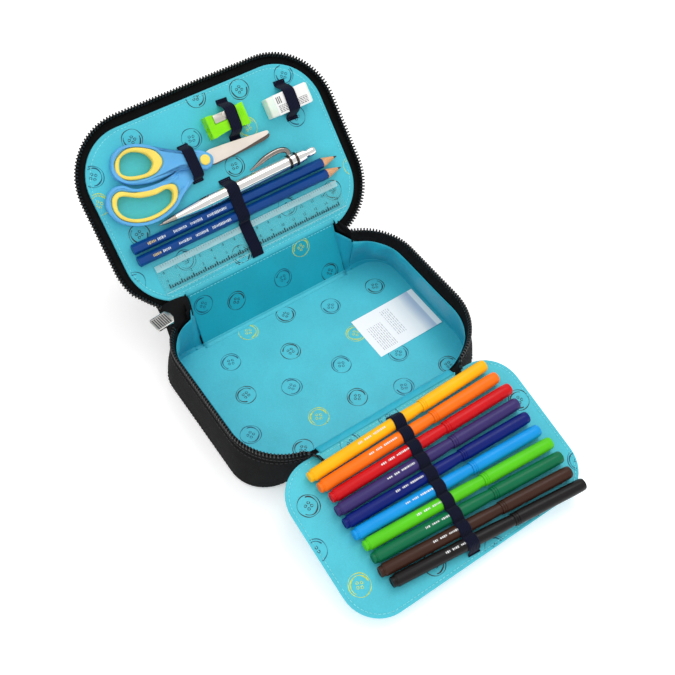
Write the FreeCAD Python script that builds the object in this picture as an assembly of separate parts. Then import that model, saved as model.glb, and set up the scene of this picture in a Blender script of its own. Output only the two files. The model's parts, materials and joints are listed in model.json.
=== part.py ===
import FreeCAD, Part
import math
import os

V = FreeCAD.Vector

# Filled zip pencil case, standing open on its base. Millimetres, +Z up, origin at the
# centre of the base's underside. +X runs along the long side, +Y from the flap to the lid hinge.

# ---- driving dimensions ----
BASE_W = 206.6          # base at the table, long side
BASE_D = 150.6          # base at the table, short side
BASE_R_FRONT = 50.0     # corner radius at the table, front
BASE_R_BACK = 32.0      # corner radius at the table, back
RIM_W = 199.4           # open rim, a little narrower, because the soft walls lean in
RIM_D = 151.2
RIM_R = 45.0
RIM_H = 47.2            # tops of the zip teeth
WALL_TOP = 38.4         # where the wall ends and the zip tape starts
WALL_T = 1.6
LINING_T = 0.6
FLOOR_T = 1.2
BOARD_TOP = 2.8         # top of the floor board
TAPE_T = 0.9
TEETH_H = 1.8
TEETH_W = 2.2

LID_W = 210.2           # lid at its zip teeth
LID_D = 147.3
LID_R = 48.0
LID_GAP = 3.0           # from the hinge line to the lid's back teeth
LID_T = 12.0            # from the teeth tops to the lid's outer skin
PANEL_INSET = 6.9       # lid board's edge inside the teeth outline
PANEL_W = -3.4          # lid board's inner face, below the teeth plane
CREASE_V = 14.1         # from the hinge line to the fold of the board
NOTCH_X = 67.0          # half width of the part that folds at the back

LID_OPEN = 134.3        # degrees from closed to the open rest pose
LID_LINE = (75.35, 39.45)    # y and z of the lid's hinge line in its teeth plane

FLAP_SLOPE = 14.5       # degrees below level, open over the front wall
FLAP_EDGE = (-76.0, 40.55)   # y and z of the flap's near edge, upper face
FLAP_W = 192.6
FLAP_L = 114.9
FLAP_R = 26.7
FLAP_T = 2.4
FLAP_AXIS = (-68.9, 37.3)

FRONT_ZIP_X = 60.0      # half length of the front zip tape that folds out under the flap
FRONT_ZIP_AXIS = (-75.0, 37.6)
FRONT_ZIP_FOLD = 120.0

MARKERS = 10
MARKER_LEN = 152.0
MARKER_CAP_LEN = 58.0
MARKER_R = 4.4
CAP_R = 4.8
MARKER_LEFT = (12.4, 9.4)     # first marker's distance from the flap's edge, and the pitch
MARKER_RIGHT = (7.8, 11.7)
MARKER_SHIFT = (-74, -72, -69, -71, -71, -70, -68, -68, -69, -66)


# ---- outlines and solids ----
def outline(x0, x1, y0, y1, r_front, r_back, z):
    """A rounded rectangle's wire: four straight runs and four arcs."""
    def arc(cx, cy, r, a):
        p = [V(cx + r * math.cos(math.radians(a + k)), cy + r * math.sin(math.radians(a + k)), z)
             for k in (0, 45, 90)]
        return Part.Arc(*p).toShape()
    arcs = [arc(x1 - r_back, y1 - r_back, r_back, 0), arc(x0 + r_back, y1 - r_back, r_back, 90),
            arc(x0 + r_front, y0 + r_front, r_front, 180), arc(x1 - r_front, y0 + r_front, r_front, 270)]
    edges = []
    for k, a in enumerate(arcs):
        edges.append(a)
        start = a.Vertexes[-1].Point
        end = arcs[(k + 1) % 4].Vertexes[0].Point
        edges.append(Part.makeLine(start, end))
    return Part.Wire(edges)


def plate(w, y0, y1, r_front, r_back, z0, z1, inset=0.0):
    """A flat rounded plate, centred in X."""
    wire = outline(-w / 2 + inset, w / 2 - inset, y0 + inset, y1 - inset, r_front - inset, r_back - inset, z0)
    return Part.Face(wire).extrude(V(0, 0, z1 - z0))


def base_outline(z, inset=0.0):
    """The leaning wall's outline at height z."""
    t = z / RIM_H
    w = BASE_W + t * (RIM_W - BASE_W) - 2 * inset
    d = BASE_D + t * (RIM_D - BASE_D) - 2 * inset
    front = BASE_R_FRONT + t * (RIM_R - BASE_R_FRONT) - inset
    back = BASE_R_BACK + t * (RIM_R - BASE_R_BACK) - inset
    return outline(-w / 2, w / 2, -d / 2, d / 2, front, back, z)


def base_loft(z0, z1, inset):
    return Part.makeLoft([base_outline(z0, inset), base_outline(z1, inset)], True, True)


def box(x0, x1, y0, y1, z0, z1):
    return Part.makeBox(x1 - x0, y1 - y0, z1 - z0, V(x0, y0, z0))


def round_bar(p0, p1, radii):
    """A turned rod from p0 to p1. radii lists (distance from p0, radius) along it."""
    p0 = V(*p0)
    axis = (V(*p1) - p0).normalize()
    pts = [V(0, 0, radii[0][0])] + [V(r, 0, s) for s, r in radii] + [V(0, 0, radii[-1][0])]
    face = Part.Face(Part.makePolygon(pts + [pts[0]]))
    body = face.revolve(V(0, 0, 0), V(0, 0, 1), 360)
    body.Placement = FreeCAD.Placement(p0, FreeCAD.Rotation(V(0, 0, 1), axis))
    return body


def strap(u, width, path, thick=0.9, turn=0.0, centre=(0, 0)):
    """A flat band of elastic over the points (v, w) of path, with mitred bends."""
    normals = []
    for (v0, w0), (v1, w1) in zip(path, path[1:]):
        length = math.hypot(v1 - v0, w1 - w0)
        normals.append((-(w1 - w0) / length, (v1 - v0) / length))
    outer = []
    for k, (v, w) in enumerate(path):
        a = normals[max(k - 1, 0)]
        b = normals[min(k, len(normals) - 1)]
        n = (a[0] + b[0], a[1] + b[1])
        s = 2 * thick / (n[0] ** 2 + n[1] ** 2)
        outer.append((v + n[0] * s, w + n[1] * s))
    pts = [V(u - width / 2, v, w) for v, w in list(path) + outer[::-1]]
    band = Part.Face(Part.makePolygon(pts + [pts[0]])).extrude(V(width, 0, 0))
    if turn:
        band.rotate(V(centre[0], centre[1], 0), V(0, 0, 1), turn)
    return band


def smooth_face(points, w):
    """A face inside a smooth closed curve through the points (u, v)."""
    curve = Part.BSplineCurve()
    curve.interpolate(Points=[V(u, v, w) for u, v in points], PeriodicFlag=True)
    return Part.Face(Part.Wire([curve.toShape()]))


def smooth_slab(points, w0, w1):
    return smooth_face(points, w0).extrude(V(0, 0, w1 - w0))


# ---- places ----
def on_lid(shape):
    """From lid coordinates (along, away from the hinge, out of the inner face) to the open lid."""
    shape.rotate(V(0, 0, 0), V(1, 0, 0), 180 - LID_OPEN)
    shape.translate(V(0, LID_LINE[0], LID_LINE[1]))
    return shape


def on_flap(shape):
    """From flap coordinates (along, towards the case, out of the printed face) to the open flap."""
    shape.rotate(V(0, 0, 0), V(1, 0, 0), FLAP_SLOPE)
    shape.translate(V(0, FLAP_EDGE[0], FLAP_EDGE[1]))
    return shape


def save(shape, name):
    shape.exportStep("parts/" + name + ".step")


# ---- base ----
def back_notch(z0, x=NOTCH_X):
    return box(-x, x, 45, 90, z0, 60)


def base_shell():
    shell = base_loft(0, WALL_TOP, 0).cut(base_loft(FLOOR_T, WALL_TOP + 1, WALL_T))
    shell = shell.cut(back_notch(FLOOR_T))
    return shell.cut(box(-68, 68, -80, -60, WALL_TOP - 1.8, WALL_TOP + 2))


def base_lining():
    ring = base_loft(BOARD_TOP + 0.15, WALL_TOP - 0.3, WALL_T + 0.05)
    ring = ring.cut(base_loft(BOARD_TOP, WALL_TOP, WALL_T + 0.05 + LINING_T))
    ring = ring.cut(back_notch(0, NOTCH_X + 0.2))
    return ring.cut(box(-68, 68, -80, -60, WALL_TOP - 1.9, WALL_TOP + 2))


def floor_board():
    y0 = -BASE_D / 2 + WALL_T + 0.8
    return plate(BASE_W - 2 * WALL_T - 1.6, y0, 69.3, 46, 34, FLOOR_T + 0.05, BOARD_TOP)


def rim_tape():
    tape = base_loft(WALL_TOP + 0.05, RIM_H - TEETH_H, 0)
    return tape.cut(base_loft(WALL_TOP - 1, RIM_H, TAPE_T))


def rim_teeth():
    teeth = base_loft(RIM_H - TEETH_H + 0.02, RIM_H, -0.6)
    return teeth.cut(base_loft(WALL_TOP, RIM_H + 1, TEETH_W - 0.6))


def corner_zone():
    """The two front corners, where the zip bends aside as the flap passes."""
    left = box(-120, -FRONT_ZIP_X - 0.3, -90, -29, 30, 60)
    return left.fuse(left.mirror(V(0, 0, 0), V(1, 0, 0)))


def side_zone():
    return box(-120, 120, -28.9, 90, 30, 60).cut(back_notch(0, NOTCH_X + 1))


def front_zip():
    zone = box(-FRONT_ZIP_X, FRONT_ZIP_X, -90, -60, WALL_TOP - 2, 60)
    strip = rim_tape().common(zone).fuse(rim_teeth().common(zone))
    strip.rotate(V(0, *FRONT_ZIP_AXIS), V(1, 0, 0), FRONT_ZIP_FOLD)
    return strip


def care_card():
    return box(40, 97.0, -15.6, 24.4, BOARD_TOP + 0.1, BOARD_TOP + 0.5)


def make_base():
    save(base_shell(), "base_shell")
    save(base_lining(), "base_lining")
    save(floor_board(), "floor_board")
    save(rim_tape().common(side_zone()), "base_zip_tape")
    save(rim_teeth().common(side_zone()), "base_zip_teeth")
    corners = Part.makeCompound([rim_tape().common(corner_zone()), rim_teeth().common(corner_zone())])
    save(corners, "zip_corners")
    save(front_zip(), "front_zip")
    save(care_card(), "care_card")


# ---- the board at the back, between floor and lid ----
LID_TURN = math.radians(180 - LID_OPEN)
FOLD_TOP = (LID_LINE[0] + CREASE_V * math.cos(LID_TURN) - PANEL_W * math.sin(LID_TURN),
            LID_LINE[1] + CREASE_V * math.sin(LID_TURN) + PANEL_W * math.cos(LID_TURN))
FOLD_FOOT = (69.6, 2.8)          # y and z of the lower fold, on the floor board


def back_slab(points, half_width):
    """A prism across the back. points are (down from the upper fold, out from the inner face)."""
    dy = FOLD_FOOT[0] - FOLD_TOP[0]
    dz = FOLD_FOOT[1] - FOLD_TOP[1]
    length = math.hypot(dy, dz)
    ty, tz = dy / length, dz / length
    pts = [V(-half_width, FOLD_TOP[0] + s * ty - t * tz, FOLD_TOP[1] + s * tz + t * ty)
           for s, t in points]
    return Part.Face(Part.makePolygon(pts + [pts[0]])).extrude(V(2 * half_width, 0, 0))


def make_back_panel():
    save(back_slab([(0.4, 0), (1.0, 1.8), (46.8, 1.8), (46.8, 0)], 65.5), "back_board")
    pad = back_slab([(1.3, 1.9), (6.2, 13.2), (45.2, 6.0), (45.2, 1.9)], 66.4)
    save(pad, "back_padding")


# ---- lid ----
def lid_plate(w0, w1, inset):
    """A layer of the lid with the teeth's outline."""
    return plate(LID_W, LID_GAP, LID_GAP + LID_D, LID_R, LID_R, w0, w1, inset)


def zip_gap():
    """Where the lid's zip leaves off, across the hinge."""
    return box(-NOTCH_X - 1, NOTCH_X + 1, -5, 30, -20, 5)


def lid_wire(w, inset):
    y1 = LID_GAP + LID_D - inset
    return outline(-LID_W / 2 + inset, LID_W / 2 - inset, LID_GAP + inset, y1, LID_R - inset, LID_R - inset, w)


def lid_shell():
    pad = Part.makeLoft([lid_wire(-LID_T, 6), lid_wire(-LID_T + 2.6, 0.6)], True, True)
    pad = pad.fuse(Part.makeLoft([lid_wire(-LID_T + 2.6, 0.6), lid_wire(-8.7, 0.1)], True, True))
    pad = pad.fuse(lid_plate(-8.7, -6.1, 1.0)).removeSplitter()
    return pad.cut(box(-NOTCH_X, NOTCH_X, -5, CREASE_V + 1.1, -LID_T - 1, 0))


def lid_tape():
    return lid_plate(-8.65, -TEETH_H, 0).cut(lid_plate(-10, 0, TAPE_T)).cut(zip_gap())


def lid_teeth():
    return lid_plate(-TEETH_H + 0.02, 0, -0.6).cut(lid_plate(-10, 1, TEETH_W - 0.6)).cut(zip_gap())


def lid_board():
    board = plate(LID_W, LID_GAP, LID_GAP + LID_D, 45, 45, -6.05, PANEL_W, PANEL_INSET)
    return board.cut(box(-NOTCH_X, NOTCH_X, -5, CREASE_V + 0.9, -8, 0))


def make_lid():
    save(on_lid(lid_shell()), "lid_shell")
    save(on_lid(lid_tape()), "lid_zip_tape")
    save(on_lid(lid_teeth()), "lid_zip_teeth")
    save(on_lid(lid_board()), "lid_board")


# ---- loops of elastic on the lid ----
REST_W = PANEL_W + 0.1      # a thing that lies on the lid board starts here


def make_loops():
    sharpener = [(101, REST_W), (104.5, REST_W), (107.6, 8.0), (125.6, 8.0), (129, REST_W), (132.5, REST_W)]
    eraser = [(98, REST_W), (100.5, REST_W), (103.9, 8.2), (120.6, 8.2), (125, REST_W), (128.5, REST_W)]
    scissors = [(82.5, REST_W), (84.6, REST_W), (86.4, 4.6), (111.2, 4.6), (113, REST_W), (115.1, REST_W)]
    pens = [(15.8, REST_W), (18.2, REST_W), (19.4, -1.6), (44.2, -1.6), (45.8, 4.3), (63.8, 4.3), (66, 7.3),
            (73.6, 7.3), (76.6, REST_W), (79, REST_W)]
    save(on_lid(strap(20.3, 9.2, sharpener, turn=-4, centre=(20.3, 117))), "loop_sharpener")
    save(on_lid(strap(69.2, 9.6, eraser, turn=-3, centre=(69.2, 113))), "loop_eraser")
    save(on_lid(strap(-20.9, 8.8, scissors)), "loop_scissors")
    save(on_lid(strap(-2.1, 9.8, pens)), "loop_pens")


# ---- sharpener and eraser ----
def make_sharpener():
    body = box(0.5, 32, 108.2, 125, REST_W, 7.2)
    body = body.cut(box(4, 29, 117.4, 126, 6.2, 8))
    hole = Part.makeCone(4.0, 0.8, 24, V(0, 113.6, 2.0), V(1, 0, 0))
    grip = [Part.makeCylinder(1.0, 12, V(u, y, REST_W - 0.5), V(0, 0, 1))
            for y in (108.0, 125.4) for u in (8, 12.5, 17, 21.5, 26)]
    body = body.cut(hole)
    for groove in grip:
        body = body.cut(groove)
    save(on_lid(body), "sharpener_body")
    blade = box(5, 27, 118, 125.4, 6.25, 7.0).cut(Part.makeCylinder(1.3, 3, V(16, 121.6, 5)))
    screw = Part.makeCylinder(2.4, 0.7, V(16, 121.6, 7.05)).cut(box(15.6, 16.4, 118, 125, 7.4, 8))
    save(on_lid(Part.makeCompound([blade, screw])), "sharpener_blade")


def make_eraser():
    block = box(50, 86, 104.6, 119.8, REST_W, 7.6)
    block = block.makeFillet(1.2, [e for e in block.Edges if abs(e.BoundBox.XLength) < 0.01])
    save(on_lid(block), "eraser_block")
    sleeve = box(56, 84.5, 104.2, 120.2, REST_W - 0.05, 8.0)
    sleeve = sleeve.cut(box(55, 86, 104.55, 119.85, REST_W - 0.1, 7.65))
    save(on_lid(sleeve), "eraser_sleeve")


# ---- scissors ----
PIVOT = (-11.5, 97.4)
UPPER_OUTER = [(-77.5, 117), (-73, 126), (-64, 129.5), (-54, 127.5), (-44, 122), (-34, 115), (-22, 108.5),
               (-11, 105), (-4.5, 97.5), (-9, 90.6), (-19, 92), (-29, 98.6), (-40, 97.6), (-54, 98), (-67, 101.5),
               (-75, 107.5)]
UPPER_INNER = [(-75.6, 114), (-72, 122), (-62, 126.4), (-52, 124), (-43, 117.5), (-41, 108.5), (-49, 103),
               (-61, 103.4), (-71, 107)]
UPPER_HOLE = [(-72.4, 114.5), (-68, 122), (-59, 123.4), (-50.5, 118.6), (-47.6, 111), (-53.5, 105.8),
              (-63.5, 106.8), (-70.5, 110)]
LOWER_OUTER = [(-92.5, 91), (-90.5, 100), (-83, 105.2), (-75, 104.6), (-68, 99), (-58, 95.6), (-46, 94.6),
               (-36, 96), (-26, 101.5), (-14, 105), (-5, 99), (-8, 91), (-18, 90), (-29, 88), (-37, 83),
               (-44, 76), (-54, 72.4), (-66, 71.4), (-78, 74.2), (-88, 81)]
LOWER_INNER = [(-88.6, 91), (-86, 99), (-79, 101.4), (-70, 96.8), (-57, 94), (-46, 93.2), (-39.5, 89),
               (-42.5, 80), (-53, 74.8), (-66, 73.6), (-78, 76.8), (-86, 83)]
LOWER_HOLE = [(-85.4, 91), (-82.6, 96.8), (-77.4, 97.2), (-67, 91.6), (-56, 89.2), (-46.6, 89.6), (-43.6, 86),
              (-47.5, 79.8), (-57, 76.8), (-68, 76.8), (-78, 79.8), (-84, 85)]
HANDLE_TOP = 3.9
SPLIT_W = 0.3


def ring_handle(outer, inner, hole, upper):
    """A handle's hard shell: the outline, less the soft insert, less the other handle's half."""
    shell = smooth_slab(outer, REST_W, HANDLE_TOP)
    shell = shell.cut(smooth_slab(inner, REST_W - 1, HANDLE_TOP + 1))
    w0, w1 = (REST_W - 1, SPLIT_W + 0.15) if upper else (SPLIT_W - 0.15, HANDLE_TOP + 1)
    return shell.cut(box(-35, 5, 60, 140, w0, w1))


def insert(inner, hole):
    ring = smooth_slab(inner, REST_W + 0.2, HANDLE_TOP + 0.4)
    return ring.cut(smooth_slab(hole, REST_W - 1, HANDLE_TOP + 1))


def blade(points, w0, w1):
    flat = [V(u, v, w0) for u, v in points]
    return Part.Face(Part.makePolygon(flat + [flat[0]])).extrude(V(0, 0, w1 - w0))


def make_scissors():
    pin_hole = Part.makeCylinder(2.06, 20, V(PIVOT[0], PIVOT[1], -10))
    upper = ring_handle(UPPER_OUTER, UPPER_INNER, UPPER_HOLE, True).cut(pin_hole)
    lower = ring_handle(LOWER_OUTER, LOWER_INNER, LOWER_HOLE, False).cut(pin_hole)
    save(on_lid(insert(UPPER_INNER, UPPER_HOLE)), "scissors_insert_upper")
    save(on_lid(insert(LOWER_INNER, LOWER_HOLE)), "scissors_insert_lower")
    tip = [(43.5, 97.2), (44.6, 95.4), (43.2, 93.4)]
    tang = [(-4, 91.6), (-19, 94), (-19, 101), (-4, 103)]
    front = blade(tang + tip, SPLIT_W + 0.15, SPLIT_W + 1.35).cut(pin_hole)
    rear = blade(tang + tip, SPLIT_W - 1.35, SPLIT_W - 0.15).cut(pin_hole)
    upper = upper.cut(blade(tang + tip, SPLIT_W, SPLIT_W + 1.4))
    lower = lower.cut(blade(tang + tip, SPLIT_W - 1.4, SPLIT_W))
    save(on_lid(upper), "scissors_handle_upper")
    save(on_lid(lower), "scissors_handle_lower")
    save(on_lid(front), "scissors_blade_front")
    save(on_lid(rear), "scissors_blade_rear")
    pin = Part.makeCylinder(2.0, HANDLE_TOP + 0.1 - REST_W, V(PIVOT[0], PIVOT[1], REST_W))
    head = Part.makeCylinder(3.6, 0.8, V(PIVOT[0], PIVOT[1], HANDLE_TOP + 0.1))
    save(on_lid(pin.fuse(head)), "scissors_pivot")


# ---- ruler, pencils and ballpoint ----
def make_ruler():
    ruler = box(-79.6, 81.4, 19.9, 42.6, REST_W, REST_W + 1.4)
    save(on_lid(ruler), "ruler")


PENCIL_R = 4.04
PENCIL_LINES = [(60.0, 59.0), (50.6, 49.8)]


def hexagon_rod(p0, p1, r):
    """A six-sided rod from p0 to p1 at one height, lying on one of its flats."""
    angles = [math.radians(60 * k) for k in range(7)]
    pts = [V(0, r * math.cos(a), r * math.sin(a)) for a in angles]
    rod = Part.Face(Part.makePolygon(pts)).extrude(V((V(*p1) - V(*p0)).Length, 0, 0))
    rod.rotate(V(0, 0, 0), V(0, 0, 1), math.degrees(math.atan2(p1[1] - p0[1], p1[0] - p0[0])))
    rod.translate(V(*p0))
    return rod


def make_pencils():
    rods = []
    cones = []
    leads = []
    w = REST_W + 3.62
    for v0, v1 in PENCIL_LINES:
        slope = (v1 - v0) / 162
        end = lambda u: (u, v0 + slope * (u + 88.4), w)
        rods.append(hexagon_rod(end(-88.4), end(73.6), PENCIL_R))
        cones.append(round_bar(end(73.65), end(86.6), [(0, 3.6), (9.8, 1.1)]))
        leads.append(round_bar(end(73.65), end(86.6), [(9.85, 1.05), (12.9, 0.25)]))
    save(on_lid(Part.makeCompound(rods)), "pencil_rods")
    save(on_lid(Part.makeCompound(cones)), "pencil_cones")
    save(on_lid(Part.makeCompound(leads)), "pencil_leads")


PEN_TIP = (-63.0, 68.2, 1.95)
PEN_END = (73.0, 70.6, 1.95)


def make_pen():
    barrel = round_bar(PEN_TIP, PEN_END, [(14.1, 2.5), (24, 3.7), (34, 4.7), (41, 5.1), (126.5, 5.1)])
    bore = round_bar(PEN_TIP, PEN_END, [(112, 3.5), (127, 3.5)])
    tip = round_bar(PEN_TIP, PEN_END, [(0, 0.5), (2.4, 0.6), (3, 1.2), (14, 2.6)])
    save(on_lid(Part.makeCompound([barrel.cut(bore), tip])), "pen_barrel")
    button = round_bar(PEN_TIP, PEN_END, [(118, 3.42), (134.4, 3.42), (136, 2.2)])
    save(on_lid(button), "pen_button")
    clip = [(53.4, 75.8), (53.4, 78.8), (50.4, 81.6), (43, 83.4), (32.5, 82.6), (24, 80), (16.5, 77.2), (14.5, 76.6),
            (14.5, 75.4), (18, 75.4), (26, 77), (34, 78.8), (43, 79.8), (48, 78.6), (49.4, 75.8)]
    save(on_lid(blade(clip, -1.0, 3.2)), "pen_clip")


# ---- flap with its felt pens ----
def marker_ends(k):
    """The two ends of felt pen k on the flap, as (along, towards the case, out)."""
    u0 = MARKER_SHIFT[k]
    v0 = MARKER_LEFT[0] + MARKER_LEFT[1] * k
    v1 = MARKER_RIGHT[0] + MARKER_RIGHT[1] * k
    run = math.sqrt(MARKER_LEN ** 2 - (v1 - v0) ** 2)
    return (u0, -v0, 5.0), (u0 + run, -v1, 5.0)


def make_marker(k):
    a, b = marker_ends(k)
    joint = MARKER_LEN - MARKER_CAP_LEN
    barrel = [(0, 3.4), (0.6, 3.7), (2.2, 3.7), (2.3, 4.3), (3, MARKER_R), (joint - 0.4, MARKER_R),
              (joint - 0.35, 3.53), (joint + 20, 3.53), (joint + 21, 2.4), (joint + 30, 1.4), (joint + 34, 0.6)]
    save(on_flap(round_bar(a, b, barrel)), "marker_barrel_%02d" % (k + 1))
    cap = round_bar(a, b, [(joint, CAP_R), (MARKER_LEN - 3, 4.6), (MARKER_LEN - 0.8, 4.2), (MARKER_LEN, 3.4)])
    bore = round_bar(a, b, [(joint - 1, 3.6), (joint + 38, 3.6), (joint + 44, 1.0)])
    save(on_flap(cap.cut(bore)), "marker_cap_%02d" % (k + 1))


def make_flap():
    board = plate(FLAP_W, -FLAP_L, 0, FLAP_R, FLAP_R, -FLAP_T, 0)
    save(on_flap(board), "flap_board")
    path = [(-113.5, 0.15), (-110.6, 0.15), (-108.9, 9.85), (-5.3, 9.85), (-3.9, 0.15), (-1.0, 0.15)]
    band = strap(-4.5, 9.2, path, turn=-3.8, centre=(-4.5, -59))
    save(on_flap(band), "flap_elastic")
    for k in range(MARKERS):
        make_marker(k)


# ---- zip slider ----
SLIDER = (-77.5, 73.6, 42.5)


def make_slider():
    body = box(-4.5, 4.5, -2.4, 2.4, -3.2, 3.2)
    body = body.makeFillet(1.0, body.Edges)
    body.rotate(V(0, 0, 0), V(0, 0, 1), 25)
    body.translate(V(*SLIDER))
    save(body, "zip_slider")
    tag = box(-17.0, -1.2, -6.2, 6.2, -0.8, 0.8)
    for k in range(9):
        tag = tag.cut(box(-15.6 + 1.55 * k, -15.0 + 1.55 * k, -5.2, 5.2, 0.5, 1))
    tag.rotate(V(0, 0, 0), V(0, 0, 1), 8)
    tag.translate(V(SLIDER[0] - 4.6, SLIDER[1] + 0.4, SLIDER[2] + 1.0))
    save(tag, "pull_tab")


os.makedirs("parts", exist_ok=True)
make_base()
make_back_panel()
make_lid()
make_loops()
make_sharpener()
make_eraser()
make_scissors()
make_ruler()
make_pencils()
make_pen()
make_flap()
make_slider()
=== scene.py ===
import json
import math

import bmesh
import bpy
import numpy as np
from mathutils import Matrix, Vector


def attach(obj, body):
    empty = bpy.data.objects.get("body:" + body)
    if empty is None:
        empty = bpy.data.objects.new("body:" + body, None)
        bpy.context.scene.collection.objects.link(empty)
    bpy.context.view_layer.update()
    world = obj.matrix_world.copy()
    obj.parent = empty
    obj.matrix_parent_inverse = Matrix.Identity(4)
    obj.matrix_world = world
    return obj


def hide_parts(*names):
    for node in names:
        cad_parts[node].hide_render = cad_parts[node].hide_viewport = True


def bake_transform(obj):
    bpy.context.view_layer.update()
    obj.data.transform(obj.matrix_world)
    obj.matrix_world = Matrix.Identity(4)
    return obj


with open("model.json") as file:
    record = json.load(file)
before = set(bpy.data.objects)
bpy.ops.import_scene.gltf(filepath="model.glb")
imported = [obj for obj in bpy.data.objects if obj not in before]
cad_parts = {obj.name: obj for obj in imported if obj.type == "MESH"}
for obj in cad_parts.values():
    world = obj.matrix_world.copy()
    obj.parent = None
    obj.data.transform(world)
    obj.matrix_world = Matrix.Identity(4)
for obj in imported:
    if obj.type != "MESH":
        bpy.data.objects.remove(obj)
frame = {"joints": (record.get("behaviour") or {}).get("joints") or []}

# A filled zip pencil case, open on a table. Lengths here are in millimetres,
# and add() turns them into metres.
MM = 0.001
JOINTS = {j["name"]: j for j in frame["joints"]}
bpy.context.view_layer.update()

# ---- driving dimensions, as in the CAD model ----
RIM_H = 47.2
WALL_TOP = 38.4
# width, front, back, front and back corner radius: at the table, and at the rim
BASE_FOOT = (209.0, -63.5, 75.3, 27.0, 24.0)
BASE_RIM = (199.4, -75.6, 75.6, 45.0, 46.0)
BOARD_TOP = 2.8
BACK_GAP = 67.0                              # half width of the folding back
WALL_END = 72.0                              # where the wall leaves off on each side of it
ZIP_END = 88.0                               # where the left zip goes under its cover
LID_SIZE = (210.2, 147.3, 48.0)              # width, depth and corner radius at the teeth
LID_GAP = 3.0
BOARD_W = -3.4                               # lid board's face, below the teeth
BOARD_INSET = 6.9
BOARD_CORNER = 38.1
CREASE_V = 14.1
LID_LINE = (75.35, 39.45)
LID_TURN = math.radians(180 - JOINTS["lid_hinge"]["range_deg"][1])
FLAP_EDGE = (-76.0, 40.55)
FLAP_TURN = math.radians(JOINTS["flap_hinge"]["range_deg"][1] - 180)
FLAP_SIZE = (192.6, 114.9, 26.7, 2.4)        # width, depth, corner radius and thickness
FOLD_FOOT = (69.6, 2.8)
FRONT_AXIS = (-75.0, 37.6)
FRONT_FOLD = math.radians(120.0)
TWIST = (68.0, 52.0)                         # where the zip twists from upright to folded out
rng = np.random.default_rng(7)


# ---- places ----
def turned(points, angle, line):
    """Points turned about X and moved so that their origin is at line, which is (y, z)."""
    p = np.asarray(points, float).reshape(-1, 3)
    c, s = math.cos(angle), math.sin(angle)
    return np.stack([p[:, 0], line[0] + p[:, 1] * c - p[:, 2] * s, line[1] + p[:, 1] * s + p[:, 2] * c], 1)


def on_base(points):
    """From (x, y, z) as they are."""
    return np.asarray(points, float).reshape(-1, 3)


def on_lid(points):
    """From (along, away from the hinge, out of the inner face)."""
    return turned(points, LID_TURN, LID_LINE)


def on_flap(points):
    """From (along, towards the case, out of the printed face)."""
    return turned(points, FLAP_TURN, FLAP_EDGE)


def edge_at(place, v, w):
    """The (y, z) of a line across the case, given in a panel's own frame."""
    return place([(0, v, w)])[0][1:]


FOLD_TOP = tuple(edge_at(on_lid, CREASE_V, BOARD_W))
BACK_LENGTH = math.dist(FOLD_TOP, FOLD_FOOT)
BACK_TURN = math.atan2(FOLD_TOP[1] - FOLD_FOOT[1], FOLD_TOP[0] - FOLD_FOOT[0])


def on_back(points):
    """From (along, up the back board, out of its printed face, towards the case)."""
    return turned(points, BACK_TURN, FOLD_FOOT)


def smoothstep(t):
    """0 below 0, 1 above 1, and a smooth rise between."""
    t = np.clip(t, 0, 1)
    return t * t * (3 - 2 * t)


def on_rim(points):
    """The base's rim, with its front folded out under the flap."""
    p = on_base(points).copy()
    share = smoothstep((TWIST[0] - np.abs(p[:, 0])) / (TWIST[0] - TWIST[1])) * (p[:, 1] < 0)
    c, s = np.cos(share * FRONT_FOLD), np.sin(share * FRONT_FOLD)
    y, z = p[:, 1] - FRONT_AXIS[0], p[:, 2] - FRONT_AXIS[1]
    p[:, 1] = FRONT_AXIS[0] + y * c - z * s
    p[:, 2] = FRONT_AXIS[1] + y * s + z * c
    return p


# ---- outlines ----
def rounded(corners, closed=True, arc=12, run=14):
    """Points along an outline whose corners (x, y, radius) are rounded. Each arc and each run has
    the same number of points in every outline, so that outlines can be joined."""
    pts = []
    count = len(corners)
    for i, (x, y, r) in enumerate(corners):
        p = np.array((x, y), float)
        if not closed and i in (0, count - 1):
            pts.append([p])
            continue
        a = np.array(corners[i - 1][:2], float) - p
        b = np.array(corners[(i + 1) % count][:2], float) - p
        a /= np.linalg.norm(a)
        b /= np.linalg.norm(b)
        half = math.acos(np.clip(a @ b, -1, 1)) / 2
        centre = p + (a + b) / np.linalg.norm(a + b) * r / math.sin(half)
        first = p + a * r / math.tan(half) - centre
        last = p + b * r / math.tan(half) - centre
        a0 = math.atan2(first[1], first[0])
        sweep = (math.atan2(last[1], last[0]) - a0 + math.pi) % (2 * math.pi) - math.pi
        angles = a0 + sweep * np.linspace(0, 1, arc)
        pts.append([centre + r * np.array((math.cos(t), math.sin(t))) for t in angles])
    out = []
    for i, stretch in enumerate(pts):
        out += stretch
        if closed or i < count - 1:
            start, end = stretch[-1], pts[(i + 1) % count][0]
            out += [start + (end - start) * k / run for k in range(1, run)]
    return np.array(out)


def unit(rows):
    """Each row as a unit vector."""
    return rows / np.linalg.norm(rows, axis=1)[:, None]


def distance(path):
    """How far along a line each of its points is."""
    return np.concatenate([[0], np.cumsum(np.linalg.norm(np.diff(path, axis=0), axis=1))])


def points_at(path, where):
    """The points at the given distances along a line."""
    along = distance(path)
    return np.stack([np.interp(where, along, path[:, k]) for k in range(path.shape[1])], 1)


def even(path, count):
    """The same open line with its points evenly spaced."""
    return points_at(path, np.linspace(0, distance(path)[-1], count))


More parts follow.
